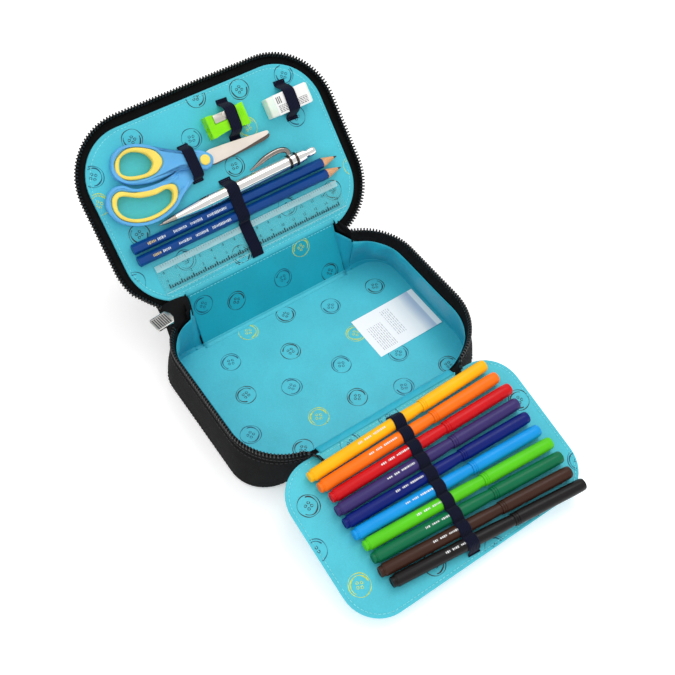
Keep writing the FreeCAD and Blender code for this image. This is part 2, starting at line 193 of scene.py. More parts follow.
def normals_of(path, closed=True):
    """Outward unit normals of an outline that runs anticlockwise, mitred at its corners."""
    ahead = np.roll(path, -1, 0) - path
    behind = path - np.roll(path, 1, 0)
    if not closed:
        ahead[-1] = behind[-1]
        behind[0] = ahead[0]
    ahead = unit(ahead)
    t = unit(ahead + unit(behind))
    n = np.stack([t[:, 1], -t[:, 0]], 1)
    stretch = np.clip((t * ahead).sum(1), 0.5, 1)
    return n / stretch[:, None]


def resample(path, pitch, closed=True):
    """Evenly spaced points along an outline, with the direction at each."""
    pts = np.vstack([path, path[:1]]) if closed else path
    length = distance(pts)[-1]
    count = max(2, int(round(length / pitch)))
    at = (np.arange(count) + 0.5) * length / count
    return points_at(pts, at), unit(points_at(pts, at + 0.3) - points_at(pts, at - 0.3))


def base_ring(z, inset=0.0):
    """The leaning base wall's outline at height z, from the back on the left round to the right."""
    t = z / RIM_H
    w, y0, y1, rf, rb = (a + t * (b - a) for a, b in zip(BASE_FOOT, BASE_RIM))
    x, y0, y1, rf, rb = w / 2 - inset, y0 + inset, y1 - inset, rf - inset, rb - inset
    # the rim's right front corner is rounder, and the left back one less round
    loose, tight = 8.0 * t, 9.0 * t
    path = rounded([(-50, y1, 0), (-x, y1, rb - tight), (-x, y0, rf), (x, y0, rf + loose), (x, y1, rb),
                    (50, y1, 0)], False, 24)
    return trimmed(path, WALL_END, path[:, 1] > 0)


def trimmed(path, end, back, count=221):
    """An outline cut off where it comes within end of the middle; back tells which points are there."""
    keep = np.flatnonzero(~back | (np.abs(path[:, 0]) > end))
    first, last = keep[0], keep[-1]
    out = [path[first:last + 1]]
    for k, near, where in ((first, first - 1, 0), (last, last + 1, 1)):
        if 0 <= near < len(path):
            share = (abs(path[k, 0]) - end) / max(1e-6, abs(path[k, 0]) - abs(path[near, 0]))
            point = (path[k] + (path[near] - path[k]) * share)[None]
            out = [point] + out if where == 0 else out + [point]
    return even(np.vstack(out), count)


def half_ring(z, inset, side, end=WALL_END):
    """Half of the rim, from its end at the back to the middle of the front; side is -1 for the left."""
    path = base_ring(z, inset)
    path = trimmed(path, end, path[:, 1] > 0)
    half = path[path[:, 0] * side > 0.5]
    if side > 0:
        half = half[::-1]
    return even(np.vstack([half, [(0.0, path[:, 1].min())]]), 150)


def lid_outline(inset, gap=None):
    """The lid's outline at its teeth, open at the hinge where it comes within gap of the middle."""
    w, d, r = LID_SIZE
    x, y0, y1, r = w / 2 - inset, LID_GAP + inset, LID_GAP + d - inset, r - inset
    if gap is None:
        return rounded([(-x, y0, r), (x, y0, r), (x, y1, r), (-x, y1, r)])
    path = rounded([(50, y0, 0), (x, y0, r), (x, y1, r), (-x, y1, r), (-x, y0, r), (-50, y0, 0)], False, 24)
    return trimmed(path, gap, path[:, 1] < 60)


# ---- materials ----
def rgb(r, g, b):
    """A colour from 0 to 255 as it looks on a screen, as linear light."""
    return tuple(((c / 255 + 0.055) / 1.055) ** 2.4 if c > 10 else c / 255 / 12.92
                 for c in (r, g, b)) + (1.0,)


class Surface:
    """A node material: a Principled shader and the nodes that feed it."""

    def __init__(self, name, colour, rough, **sockets):
        self.material = bpy.data.materials.new(name)
        self.material.use_nodes = True
        self.tree = self.material.node_tree
        self.shader = self.tree.nodes["Principled BSDF"]
        self.colour = rgb(*colour)
        self.shader.inputs["Base Color"].default_value = self.colour
        self.shader.inputs["Roughness"].default_value = rough
        for key, value in sockets.items():
            self.shader.inputs[key.replace("_", " ")].default_value = value
        self.place = self.node("ShaderNodeTexCoord").outputs["Object"]

    def node(self, kind, **inputs):
        """A node whose sockets or settings are given by name, with spaces as underscores."""
        made = self.tree.nodes.new(kind)
        for key, value in inputs.items():
            name = key.replace("_", " ")
            if name in made.inputs:
                self.join(value, made.inputs[name])
            else:
                setattr(made, key, value)
        return made

    def join(self, value, socket):
        """Links a socket to a socket, or gives it a plain value."""
        if isinstance(value, bpy.types.NodeSocket):
            self.tree.links.new(value, socket)
        else:
            socket.default_value = value

    def maths(self, operation, a, b=0.0):
        made = self.tree.nodes.new("ShaderNodeMath")
        made.operation = operation
        self.join(a, made.inputs[0])
        self.join(b, made.inputs[1])
        return made.outputs[0]

    def noise(self, size, detail=3.0, stretch=None, rough=0.5):
        """Noise whose features are about size millimetres across."""
        place = self.place
        if stretch:
            place = self.node("ShaderNodeMapping", Vector=place, Scale=stretch).outputs[0]
        made = self.node("ShaderNodeTexNoise", Vector=place, Scale=1000 / size, Detail=detail,
                         Roughness=rough)
        return made.outputs["Fac"]

    def tint(self, factor, amount, light=None):
        """Varies the colour between a darker and a lighter one by factor."""
        dark = tuple(c * (1 - amount) for c in self.colour[:3]) + (1.0,)
        light = light or tuple(min(1, c * (1 + amount)) for c in self.colour[:3]) + (1.0,)
        ramp = self.tree.nodes.new("ShaderNodeValToRGB")
        ramp.color_ramp.elements[0].position = 0.3
        ramp.color_ramp.elements[1].position = 0.7
        ramp.color_ramp.elements[0].color = dark
        ramp.color_ramp.elements[1].color = light
        self.join(factor, ramp.inputs[0])
        self.tree.links.new(ramp.outputs[0], self.shader.inputs["Base Color"])

    def rough(self, factor, low, high):
        made = self.node("ShaderNodeMapRange", Value=factor, To_Min=low, To_Max=high)
        self.tree.links.new(made.outputs[0], self.shader.inputs["Roughness"])

    def bump(self, height, strength, depth=0.2):
        """Bump of the given depth in millimetres."""
        made = self.node("ShaderNodeBump", Height=height, Strength=strength, Distance=depth * MM)
        self.tree.links.new(made.outputs[0], self.shader.inputs["Normal"])

    def uv(self):
        """Millimetres along and across a strip."""
        made = self.node("ShaderNodeUVMap", uv_map="strip").outputs[0]
        split = self.node("ShaderNodeSeparateXYZ", Vector=made)
        return split.outputs[0], split.outputs[1]

    def ribs(self, coordinate, pitch):
        """A wave of the given pitch in millimetres along a coordinate in millimetres."""
        angle = self.maths("MULTIPLY", coordinate, 2 * math.pi / pitch)
        return self.maths("MULTIPLY_ADD", self.maths("SINE", angle), 0.5)


def fabric_black():
    """Woven fabric, about a thread to the millimetre."""
    s = Surface("black_fabric", (17, 17, 18), 0.9, Specular_IOR_Level=0.15)
    split = s.node("ShaderNodeSeparateXYZ", Vector=s.place)
    thread = 0.9
    threads = [s.maths("SINE", s.maths("MULTIPLY", split.outputs[k], 2000 * math.pi / thread))
               for k in range(3)]
    weave = s.maths("ADD", s.maths("MULTIPLY", threads[0], threads[2]), s.maths("MULTIPLY", threads[1],
                                                                                threads[2]))
    s.tint(s.noise(9, 4), 0.22)
    s.bump(s.maths("ADD", weave, s.maths("MULTIPLY", s.noise(1.2), 3.0)), 0.5, 0.16)
    return s.material


def lining(name="printed_lining", colour=(66, 192, 210)):
    """Coated lining with a fine leather grain."""
    s = Surface(name, colour, 0.5, Sheen_Weight=0.08)
    grain = s.node("ShaderNodeTexVoronoi", Vector=s.place, Scale=1000 / 0.85,
                   feature="DISTANCE_TO_EDGE").outputs[0]
    pores = s.maths("MINIMUM", grain, 0.35)
    s.tint(s.maths("ADD", s.maths("MULTIPLY", s.noise(26, 3), 0.6), s.maths("MULTIPLY", s.noise(1.1, 2),
                                                                            0.4)), 0.10)
    s.rough(s.noise(5, 3), 0.42, 0.6)
    s.bump(s.maths("ADD", s.maths("MULTIPLY", pores, 2.2), s.noise(2.4, 3)), 0.42, 0.16)
    return s.material


def ink(name, colour):
    """Print that is a little worn."""
    s = Surface(name, colour, 0.55)
    s.tint(s.noise(0.9, 3, rough=0.7), 0.35)
    return s.material


def elastic_navy():
    """Woven elastic, ribbed along its length."""
    s = Surface("navy_elastic", (8, 15, 44), 0.9, Specular_IOR_Level=0.2, Sheen_Weight=0.06,
                Sheen_Roughness=0.4)
    along, across = s.uv()
    ribs = s.ribs(across, 1.15)
    picks = s.ribs(along, 0.8)
    s.tint(s.maths("MULTIPLY", ribs, picks), 0.45)
    s.bump(s.maths("ADD", ribs, s.maths("MULTIPLY", picks, 0.6)), 0.8, 0.25)
    return s.material


def tape_black():
    """The zip's tape."""
    s = Surface("zip_tape", (15, 15, 16), 0.9, Specular_IOR_Level=0.15)
    along, across = s.uv()
    ribs = s.maths("MULTIPLY", s.ribs(along, 0.85), s.ribs(across, 1.5))
    s.tint(s.noise(3, 3), 0.35)
    s.bump(s.maths("ADD", ribs, s.noise(0.6, 2)), 0.7, 0.22)
    return s.material


def plastic(name, colour, rough=0.3, coat=0.0, wear=0.06, grain=0.35, depth=0.02, **sockets):
    """Moulded plastic: a slight unevenness of tone, gloss and surface."""
    s = Surface(name, colour, rough, Coat_Weight=coat, Coat_Roughness=0.12, **sockets)
    s.tint(s.noise(14, 3), wear)
    s.rough(s.noise(4, 4, rough=0.6), rough * 0.8, min(1, rough * 1.3))
    s.bump(s.noise(grain, 2), 0.3, depth)
    return s.material


def metal(name, colour, rough, streak=(1, 1, 1), wear=0.08, size=1.2, depth=0.01):
    """Metal with marks drawn out along one direction."""
    s = Surface(name, colour, rough, Metallic=1.0)
    marks = s.noise(size, 4, streak, 0.65)
    s.tint(marks, wear)
    s.rough(marks, rough * 0.7, rough * 1.4)
    s.bump(marks, 0.25, depth)
    return s.material


MATERIALS = {}


def material(name):
    """A material by name, made on its first use."""
    recipes = {
        "fabric": fabric_black,
        "lining": lining,
        # painted shade: a darker copy of the printed lining for the tilted back board
        "painted_shade_back": lambda: lining("back_cover_painted_shade", (0, 168, 190)),
        # painted shade: a darker copy of the printed lining for the side walls, their corners and the flap's
        # hinge strip
        "painted_shade_lining": lambda: lining("side_lining", (20, 170, 196)),
        "tape": tape_black,
        "teeth": lambda: plastic("zip_teeth", (20, 20, 21), 0.4, 0.1),
        "ink_black": lambda: ink("print_black", (30, 38, 44)),
        "ink_teal": lambda: ink("print_teal", (0, 80, 110)),
        "ink_yellow": lambda: ink("print_yellow", (196, 214, 62)),
        "thread": lambda: ink("stitch_thread", (120, 214, 226)),
        "black_thread": lambda: ink("black_thread", (52, 52, 54)),
        "navy_thread": lambda: ink("navy_thread", (40, 50, 84)),
        "elastic": elastic_navy,
    }
    if name not in MATERIALS:
        MATERIALS[name] = recipes[name]()
    return MATERIALS[name]


# ---- meshes ----
def sharpen(mesh, angle):
    """Shades smoothly, with creases where faces meet at more than angle degrees."""
    made = bmesh.new()
    made.from_mesh(mesh)
    bmesh.ops.recalc_face_normals(made, faces=made.faces)
    for edge in made.edges:
        edge.smooth = len(edge.link_faces) != 2 or edge.calc_face_angle(0) < math.radians(angle)
    for face in made.faces:
        face.smooth = True
    made.to_mesh(mesh)
    made.free()


def add(name, points, faces, body, look, place=on_base, slot=None, instead_of=(), crease=40, uv=None,
        fix=True):
    """A piece from points in millimetres.

    body is one body, or two with the points where a blend would start and end; with two, these are not used
    and the piece is joined to no body.
    """
    mesh = bpy.data.meshes.new(name)
    mesh.from_pydata([tuple(p) for p in place(points) * MM], [], faces)
    if uv is not None:
        layer = mesh.uv_layers.new(name="strip")
        for loop in mesh.loops:
            layer.data[loop.index].uv = uv[loop.vertex_index]
    if fix:
        sharpen(mesh, crease)
    mesh.materials.append(look)
    o = bpy.data.objects.new(name, mesh)
    bpy.context.scene.collection.objects.link(o)
    if isinstance(body, str):
        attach(o, body)
    else:
        a, b, start, end = body
        [c * MM for c in start]
        [c * MM for c in end]
        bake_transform(o)
    if instead_of:
        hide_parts(*instead_of)
    return o


def grid(rows, columns, wrap_rows=False, wrap_columns=False):
    """Quads of a grid of points kept row by row."""
    faces = []
    for i in range(rows if wrap_rows else rows - 1):
        for j in range(columns if wrap_columns else columns - 1):
            k, m = (i + 1) % rows, (j + 1) % columns
            faces.append((i * columns + j, i * columns + m, k * columns + m, k * columns + j))
    return faces


def tube(rings, count):
    """Faces round a stack of closed rings of count points, with both ends closed."""
    last = (rings - 1) * count
    ends = [tuple(range(count))[::-1], tuple(last + k for k in range(count))]
    return grid(rings, count, wrap_columns=True) + ends


def stack(rings, heights):
    """Outlines one above another as points."""
    return np.vstack([np.column_stack([ring, np.full(len(ring), h)]) for ring, h in zip(rings, heights)])


def strip_uv(rows, columns, points):
    """Millimetres along each row and across the rows, for woven strips."""
    p = points.reshape(rows, columns, 3)
    return np.stack(np.meshgrid(distance(p[0]), distance(p[:, 0])), 2).reshape(-1, 2)


def box_outline(x, y0, y1, r0, r1):
    """The outline of a rounded board as a function of how far in it is drawn; r0 is at y0."""
    def outline(inset=0.0):
        a, b = max(r0 - inset, 0.05), max(r1 - inset, 0.05)
        w, low, high = x - inset, y0 + inset, y1 - inset
        return rounded([(-w, low, a), (w, low, a), (w, high, b), (-w, high, b)])
    return outline


def slab(name, outline, profile, body, look, place, **more):
    """A flat board: profile lists (inset from the outline, height), from the middle of one face
    round the edge to the middle of the other."""
    rings = [outline(inset) for inset, _ in profile]
    points, faces = stack(rings, [h for _, h in profile]), tube(len(rings), len(rings[0]))
    return add(name, points, faces, body, look, place, **more)


SEAM = 2.6                                   # how far in from its edge a board is sewn


def board_profile(bottom, top, seam=SEAM, sink=0.22, edge=0.7):
    """A covered board's edge: rounded, with a groove where it is sewn."""
    middle = (bottom + top) / 2
    return [(seam + 3, bottom), (edge, bottom), (edge * 0.3, bottom + edge * 0.3), (0, middle),
            (edge * 0.3, top - edge * 0.35), (edge, top - 0.06), (seam - 1.0, top + 0.02),
            (seam - 0.35, top - sink), (seam + 0.35, top - sink), (seam + 1.2, top), (seam + 3, top)]


def joined(parts):
    """Several (points, faces) as one."""
    points, faces, start = [], [], 0
    for p, f in parts:
        points.append(p)
        faces += [tuple(i + start for i in face) for face in f]
        start += len(p)
    return np.vstack(points), faces


def pin(levels):
    """An upright peg: levels are (height, half length, half width)."""
    sides = 8
    angles = [2 * math.pi * (k + 0.5) / sides for k in range(sides)]

    def corner(a):
        """A point on a soft square."""
        c, s = math.cos(a), math.sin(a)
        return np.array((math.copysign(abs(c) ** 0.45, c), math.copysign(abs(s) ** 0.45, s)))
    points = [(*(corner(a) * (hx, hy)), z) for z, hx, hy in levels for a in angles]
    return np.array(points), tube(len(levels), sides)


def planted(shape, spots, along, lean=0.0, height=0.0):
    """Copies of a shape on an outline: its X along the outline, its Y outward, leaning outward."""
    points, faces = shape
    c, s = math.cos(lean), math.sin(lean)
    parts = []
    for p, t in zip(spots, along):
        out = np.array((t[1], -t[0]))
        y = points[:, 1] * c + points[:, 2] * s
        z = points[:, 2] * c - points[:, 1] * s
        flat = p + np.outer(points[:, 0], t) + np.outer(y, out)
        parts.append((np.column_stack([flat, z + height]), faces))
    return joined(parts)


TOOTH = pin([(-1.6, 0.55, 1.0), (-0.9, 0.62, 1.35), (0.3, 0.66, 1.4), (1.6, 0.62, 1.15), (2.1, 0.42, 0.7)])
TOOTH_PITCH = 2.45
STITCH = pin([(-0.12, 0.9, 0.2), (0.02, 1.05, 0.3), (0.13, 0.95, 0.2), (0.17, 0.6, 0.08)])


def stitches(name, path, height, body, look, place, slot, pitch=2.9, closed=True):
    """A row of stitches along a path."""
    spots, along = resample(np.asarray(path, float), pitch, closed)
    points, faces = planted(STITCH, spots, along, height=height)
    return add(name, points, faces, body, look, place, slot=slot)


# ---- the print: rings like sewing buttons ----
PRINT_LIFT = 0.05                            # height of a print above its face


def ribbon(radius, start, sweep, width, wobble, phase):
    """A flat drawn arc, a little uneven."""
    count = max(6, int(radius * sweep / 0.9))
    a = start + np.linspace(0, sweep, count)
    r = radius + wobble * np.sin(2 * a + phase) + wobble * 0.6 * np.sin(5 * a + 2 * phase)
    half = width / 2 * (0.75 + 0.35 * np.sin(3 * a + phase))
    inner = np.stack([(r - half) * np.cos(a), (r - half) * np.sin(a)], 1)
    outer = np.stack([(r + half) * np.cos(a), (r + half) * np.sin(a)], 1)
    return np.vstack([inner, outer]), grid(2, count)


def button(x, y):
    """One printed ring: two outlines and four small holes."""
    phase = rng.uniform(0, 6.28)
    parts = [ribbon(7.6, phase, 6.35, 0.62, 0.12, phase),
             ribbon(6.1, phase + 1.1, 3.9, 0.95, 0.16, phase + 2)]
    for k in range(4):
        a = phase + k * math.pi / 2
        p, f = ribbon(0.95, a, 5.8, 0.68, 0.05, phase)
        parts.append((p + 2.1 * np.array((math.cos(a), math.sin(a))), f))
    points, faces = joined(parts)
    return points + (x, y), faces


def prints(name, places, height, body, look, place, inside):
    """Printed rings on a flat face, cut off where inside says no."""
    points, faces = joined([button(*p) for p in places])
    faces = [f for f in faces if all(inside(*points[i]) for i in f)]
    used = sorted({i for f in faces for i in f})
    index = {old: new for new, old in enumerate(used)}
    faces = [tuple(index[i] for i in f) for f in faces]
    points = np.column_stack([points[used], np.full(len(used), height)])
    return add(name, points, faces, body, look, place, slot="turquoise_lining", fix=False)


def face_prints(face, first, second, yellow, inks, height, body, place, inside):
    """One face's rings in three colours. Only the first ink is not in its piece's name."""
    groups = (("", first, inks[0]), ("_" + inks[1], second, inks[1]), ("_yellow", yellow, "yellow"))
    for suffix, places, colour in groups:
        look = material("ink_" + colour)
        prints(f"{face}_print{suffix}", places, height + PRINT_LIFT, body, look, place, inside)


def in_rounded(x0, x1, y0, y1, r):
    """A test for being inside a rounded rectangle."""
    def inside(x, y):
        dx = max(x0 + r - x, x - x1 + r, 0)
        dy = max(y0 + r - y, y - y1 + r, 0)
        return math.hypot(dx, dy) < r and x0 < x < x1 and y0 < y < y1
    return inside


# ---- base ----
def base_wall():
    """The soft outer wall: a tucked foot, a slight belly and a seam at the zip tape."""
    levels = [(0.0, 4.0), (0.0, 2.2), (0.6, 0.7), (1.9, 0.05), (5, -0.35), (12, -0.75), (20, -0.9),
              (28, -0.6), (34, -0.2), (37.2, 0.0), (38.2, 0.5), (38.5, 1.3), (36.5, 1.5), (20, 1.5),
              (3.5, 1.5)]
    rings = [base_ring(z, inset) for z, inset in levels]
    points = stack(rings, [z for z, _ in levels])
    count = len(rings[0])
    soft = np.sin(points[:, 0] * 0.055 + 1.2) * np.sin(points[:, 1] * 0.07 + 0.5) * 0.45
    high = np.clip(points[:, 2] / 12, 0, 1) * np.clip((36 - points[:, 2]) / 8, 0, 1)
    points[:, 1] += soft * high
    points[:, 0] += soft * high
    add("base_wall", points, grid(len(levels), count), "base", material("fabric"), slot="black_fabric",
        instead_of=["base_shell"], uv=strip_uv(len(levels), count, points))
    points, faces = stack([base_ring(0, 2.0), base_ring(0, 2.4)], [0.0, 1.1]), tube(2, count)
    add("base_bottom", points, faces, "base", material("fabric"), slot="black_fabric")
    for z, inset in ((36.0, -0.35), (3.2, -0.3)):
        ring = base_ring(z, inset)
        stitches(f"wall_stitches_{int(z)}", ring, 0.0, "base", material("black_thread"),
                 lambda p, z=z: on_base(p) + (0, 0, z), "black_fabric", 3.2, False)


def wrinkles(x, y, z):
    """Soft folds of the loose side lining, deepest at its right and left back corners."""
    right = np.exp(-(((x - 84) / 26) ** 2 + ((y - 56) / 20) ** 2))
    left = np.exp(-(((x + 88) / 20) ** 2 + ((y - 60) / 16) ** 2))
    corner = right + 0.7 * left
    height = np.clip((z - 3) / 12, 0, 1) * np.clip((38.6 - z) / 5, 0, 1)
    along = np.arctan2(y, x)
    folds = np.sin(along * 31 + z * 0.10) + 0.6 * np.sin(along * 17 - z * 0.16 + 1)
    return height * (folds * (0.28 + 1.1 * corner) + 1.6 * corner)


SLACK_FROM = 8                               # height above which the lining comes in from the wall


def slack(x, y):
    """How far the zip tape's lower edge and the loose lining come in from the wall."""
    front = smoothstep((np.abs(x) - 50) / 30)
    return np.where(y < 0, front, 1.0) * (1.6 + 2.8 * smoothstep((x + 20) / 90) * smoothstep((y + 62) / 45))


def side_lining():
    """The lining inside the wall, loose and a little wrinkled."""
    heights = np.concatenate([[2.2, 2.25, 2.35], np.linspace(BOARD_TOP, WALL_TOP + 0.1, 16)])
    insets = [11.0, 6.0, 3.2] + [2.35 + 0.4 * math.sin(math.pi * (z - 3) / 36) for z in heights[3:]]
    rings = [base_ring(z, inset) for z, inset in zip(heights, insets)]
    count = 420                              # fine enough for the wrinkles
    rings = [even(ring, count) for ring in rings]
    points = stack(rings, heights)
    x, y, z = points.T
    n = np.vstack([normals_of(ring, False) for ring in rings])
    push = wrinkles(x, y, z) + slack(x, y) * smoothstep((z - SLACK_FROM) / (WALL_TOP - SLACK_FROM))
    points[:, :2] -= n * push[:, None]
    front = (np.abs(x) < 66) & (y < -60)
    points[front, 2] = np.minimum(points[front, 2], WALL_TOP - 1.2)
    # the side lining takes the darker lining, as painted shade
    o = add("side_lining", points, grid(len(heights), count), "base", material("painted_shade_lining"),
            slot="turquoise_lining", instead_of=["base_lining"], fix=False)
    for face in o.data.polygons:
        face.use_smooth = True
    thicken(o, 0.45)


FLOOR_PRINTS = [(-57, 45), (-14, 28), (11, -4), (-63, 13), (-31, 0), (4, -35), (38, -47), (2, 60), (36, 47),
                (77, 44), (53, -20), (78, -50), (-78, -18), (-53, -49), (-8, -62)]
FLOOR_YELLOW = [(-31, 62), (37, 14), (-29, -33)]


def floor_board():
    """The covered board that the case stands on, with its print."""
    x, y0, y1 = 101.2, -61.2, 69.3
    slab("floor_cover", box_outline(x, y0, y1, 32, 20), board_profile(1.25, BOARD_TOP, seam=1.6, sink=0.05),
         "base", material("lining"), on_base, slot="turquoise_lining", instead_of=["floor_board"])
    inside = in_rounded(-x + 1, x - 1, y0 + 1, y1 - 1, 30)
    face_prints("floor", FLOOR_PRINTS[1::2], FLOOR_PRINTS[::2], FLOOR_YELLOW, ("black", "teal"), BOARD_TOP,
                "base", on_base, inside)


def wrap_strip(path, profile):
    """A band along an open path, with a profile of (outward, height)."""
    n = normals_of(path, False)
    points = stack([path + n * out for out, _ in profile], [h for _, h in profile])
    return points, grid(len(profile), len(path), wrap_rows=True)


TAPE_PROFILE = [(-0.1, 0.0), (0.25, 0.9), (0.2, 2.0), (0.15, 4.5), (0.35, 5.6), (0.55, 6.3), (0.3, 7.3),
                (-0.3, 7.6), (-0.95, 7.4), (-1.2, 6.3), (-0.85, 5.4), (-0.8, 2.0), (-0.8, 0.0)]


def base_zip():
    """Both halves of the rim's zip, upright round the side and corner and twisting out under the flap."""
    for side, label in ((-1, "left"), (1, "right")):
        path = half_ring(43, 0.1, side, ZIP_END if side < 0 else WALL_END)
        if side > 0:
            path = path[::-1]
        points, faces = wrap_strip(path, TAPE_PROFILE)
        n = normals_of(path, False)
        inner = np.array([out < -0.5 for out, _ in TAPE_PROFILE])[:, None]
        share = inner * np.clip(1 - np.array([h for _, h in TAPE_PROFILE])[:, None] / 7.4, 0,
                                1) * slack(*path.T)
        points[:, :2] -= (n[None] * share[:, :, None]).reshape(-1, 2)
        points[:, 2] += WALL_TOP - 0.4
        lean = np.clip((points[:, 2] - WALL_TOP) / 9, 0, 1)
        points[:, :2] *= 1 - 0.004 * lean[:, None]
        start, end = (side * TWIST[0], 0, 0), (side * TWIST[1], 0, 0)
        body = ("base", "front_zip", start, end)
        add(f"rim_tape_{label}", points, faces, body, material("tape"), on_rim, slot="zip_tape",
            instead_of=["base_zip_tape", "zip_corners", "front_zip"],
            uv=strip_uv(len(TAPE_PROFILE), len(path), points))
        spots, along = resample(path * 0.998, TOOTH_PITCH, False)
        points, faces = planted(TOOTH, spots, along, lean=0.12, height=RIM_H - 2.0)
        add(f"rim_teeth_{label}", points, faces, body, material("teeth"), on_rim, slot="zip_teeth",
            instead_of=["base_zip_teeth"])
        row = path + n * 0.35
        spots, along = resample(row, 2.6, False)
        points, faces = planted((STITCH[0][:, [0, 2, 1]], STITCH[1]), spots, along, height=WALL_TOP + 1.2)
        add(f"rim_tape_stitches_{label}", points, faces, body, material("black_thread"), on_rim,
            slot="zip_tape")


def care_card():
    """A loose printed card with a slight curl: plain lines for its text and a tinted end."""
    x0, x1, y0, y1 = 40.0, 98.8, -15.6, 24.4
    nx, ny = 24, 14
    xs, ys = np.meshgrid(np.linspace(x0, x1, nx), np.linspace(y0, y1, ny))

    def height(x, y):
        return BOARD_TOP + 0.25 + 0.9 * ((x - x0) / (x1 - x0)) ** 3 + 0.35 * ((y - y0) / (y1 - y0)) ** 4
    top = np.stack([xs, ys, height(xs, ys)], 2).reshape(-1, 3)
    count = len(top)
    faces = grid(ny, nx) + [tuple(i + count for i in f[::-1]) for f in grid(ny, nx)]
    rim = list(range(nx)) + [nx * k + nx - 1 for k in range(1, ny)]
    rim += [count - 2 - k for k in range(nx - 1)] + [nx * (ny - 1 - k) for k in range(1, ny - 1)]
    for a, b in zip(rim, rim[1:] + rim[:1]):
        faces.append((a, b, b + count, a + count))
    s = Surface("card", (252, 253, 255), 0.5, Coat_Weight=0.1)
    split = s.node("ShaderNodeSeparateXYZ", Vector=s.place)
    up = s.node("ShaderNodeMapRange", Value=split.outputs[0], From_Min=0.078, From_Max=0.093).outputs[0]
    down = s.node("ShaderNodeMapRange", Value=split.outputs[0], From_Min=0.0935, From_Max=0.0945, To_Min=1.0,
                  To_Max=0.25).outputs[0]
    end = s.maths("MULTIPLY", up, down)
    s.tint(s.maths("ADD", s.maths("MULTIPLY", end, 0.7), s.maths("MULTIPLY", s.noise(18, 3), 0.15)), 0.02,
           rgb(196, 208, 230))
    s.bump(s.noise(2.0, 3), 0.2, 0.03)
    add("care_card_sheet", np.vstack([top, top - (0, 0, 0.22)]), faces, "base", s.material, slot="white_card",
        instead_of=["care_card"])
    parts = []
    grey = ink("card_print", (176, 182, 192))
    for first, last, left, right in ((64.0, 72.0, -6.0, 20.0), (46.0, 60.0, -12.0, 12.0)):
        x = first
        while x < last:
            y = left
            while y < right:
                length = rng.uniform(1.2, 4.2)
                end_y = min(y + length, right)
                corners = [(x, y), (x + 0.45, y), (x + 0.45, end_y), (x, end_y)]
                parts.append((np.array([(a, b, height(a, b) + 0.05) for a, b in corners]), [(0, 1, 2, 3)]))
                y = end_y + 0.7
            x += 1.75
    points, faces = joined(parts)
    add("care_card_lines", points, faces, "base", grey, slot="white_card", fix=False)


# ---- the folding back ----
BACK_PRINTS = [(-56, 33), (-30, 23), (12, 22), (52.5, 7)]
BACK_YELLOW = [(33.5, 39.5)]


def back_board():
    """The board between floor and lid, its padded outside, and the fabric that joins it to the lid."""
    top = BACK_LENGTH
    # the back board's cover takes the darker lining, as painted shade
    slab("back_cover", box_outline(65.6, 0.9, top - 0.2, 0.8, 0.8),
         board_profile(-1.8, 0.0, seam=1.6, sink=0.0), "back_panel", material("painted_shade_back"), on_back,
         slot="turquoise_lining", instead_of=["back_board"])
    inside = in_rounded(-65, 65, 1, top - 0.5, 1)
    face_prints("back", BACK_PRINTS[::2], BACK_PRINTS[1::2], BACK_YELLOW, ("teal", "black"), 0.0,
                "back_panel", on_back, inside)
    stitches("back_stitches", [(-64, top - 3.2), (64, top - 3.2)], 0.0, "back_panel", material("thread"),
             on_back, "turquoise_lining", closed=False)
    # outside: a padded skin from the lower fold to the upper one
    profile = [(top - 1.0, -2.2), (top - 3.5, -6.5), (top - 6.0, -11.6), (top - 8.5, -12.9),
               (top - 13, -12.6), (top - 24, -10.9), (top - 36, -8.4), (top - 43, -6.6), (3.2, -5.2),
               (1.8, -3.4), (1.2, -2.0)]
    xs = np.linspace(-66.6, 66.6, 42)
    rows = []
    for v, w in profile:
        edge = 1 - np.clip((np.abs(xs) - 61) / 6, 0, 1) ** 2 * 0.45
        soft = 0.25 * np.sin(xs * 0.13 + v * 0.2) * min(1, abs(w + 2) / 4)
        rows.append(np.stack([xs, np.full(len(xs), v), -2.0 + (w + 2.0) * edge + soft], 1))
    points = np.vstack(rows)
    faces = grid(len(profile), len(xs))
    for column in (0, len(xs) - 1):
        faces.append(tuple(k * len(xs) + column for k in range(len(profile))))
    faces.append(tuple(range(len(xs))) + tuple((len(profile) - 1) * len(xs) + k
                                               for k in range(len(xs) - 1, -1, -1)))
    pad = add("back_pad", points, faces, "back_panel", material("fabric"), on_back, slot="black_fabric",
              instead_of=["back_padding"])


def cubic(p, slopes, count):
    """A cubic curve through points with the given slopes, as count points."""
    at = distance(p)
    out = []
    for s in np.linspace(0, at[-1], count):
        k = min(np.searchsorted(at, s, side="right") - 1, len(at) - 2)
        h = at[k + 1] - at[k]
        t = (s - at[k]) / h
        out.append((2 * t ** 3 - 3 * t ** 2 + 1) * p[k] + (t ** 3 - 2 * t ** 2 + t) * h * slopes[k]
                   + (3 * t ** 2 - 2 * t ** 3) * p[k + 1] + (t ** 3 - t ** 2) * h * slopes[k + 1])
    return np.array(out)


def smooth_path(points, count):
    """A smooth open line through a few points."""
    p = np.asarray(points, float)
    at = distance(p)
    slopes = np.zeros_like(p)
    slopes[1:-1] = (p[2:] - p[:-2]) / (at[2:] - at[:-2])[:, None]
    slopes[0], slopes[-1] = (p[1] - p[0]) / at[1], (p[-1] - p[-2]) / (at[-1] - at[-2])
    return cubic(p, slopes, count)


def thicken(o, thick):
    """Gives a sheet a thickness in millimetres, half to each side."""
    solid = o.modifiers.new("thickness", "SOLIDIFY")
    solid.thickness = thick * MM
    solid.offset = 0.0


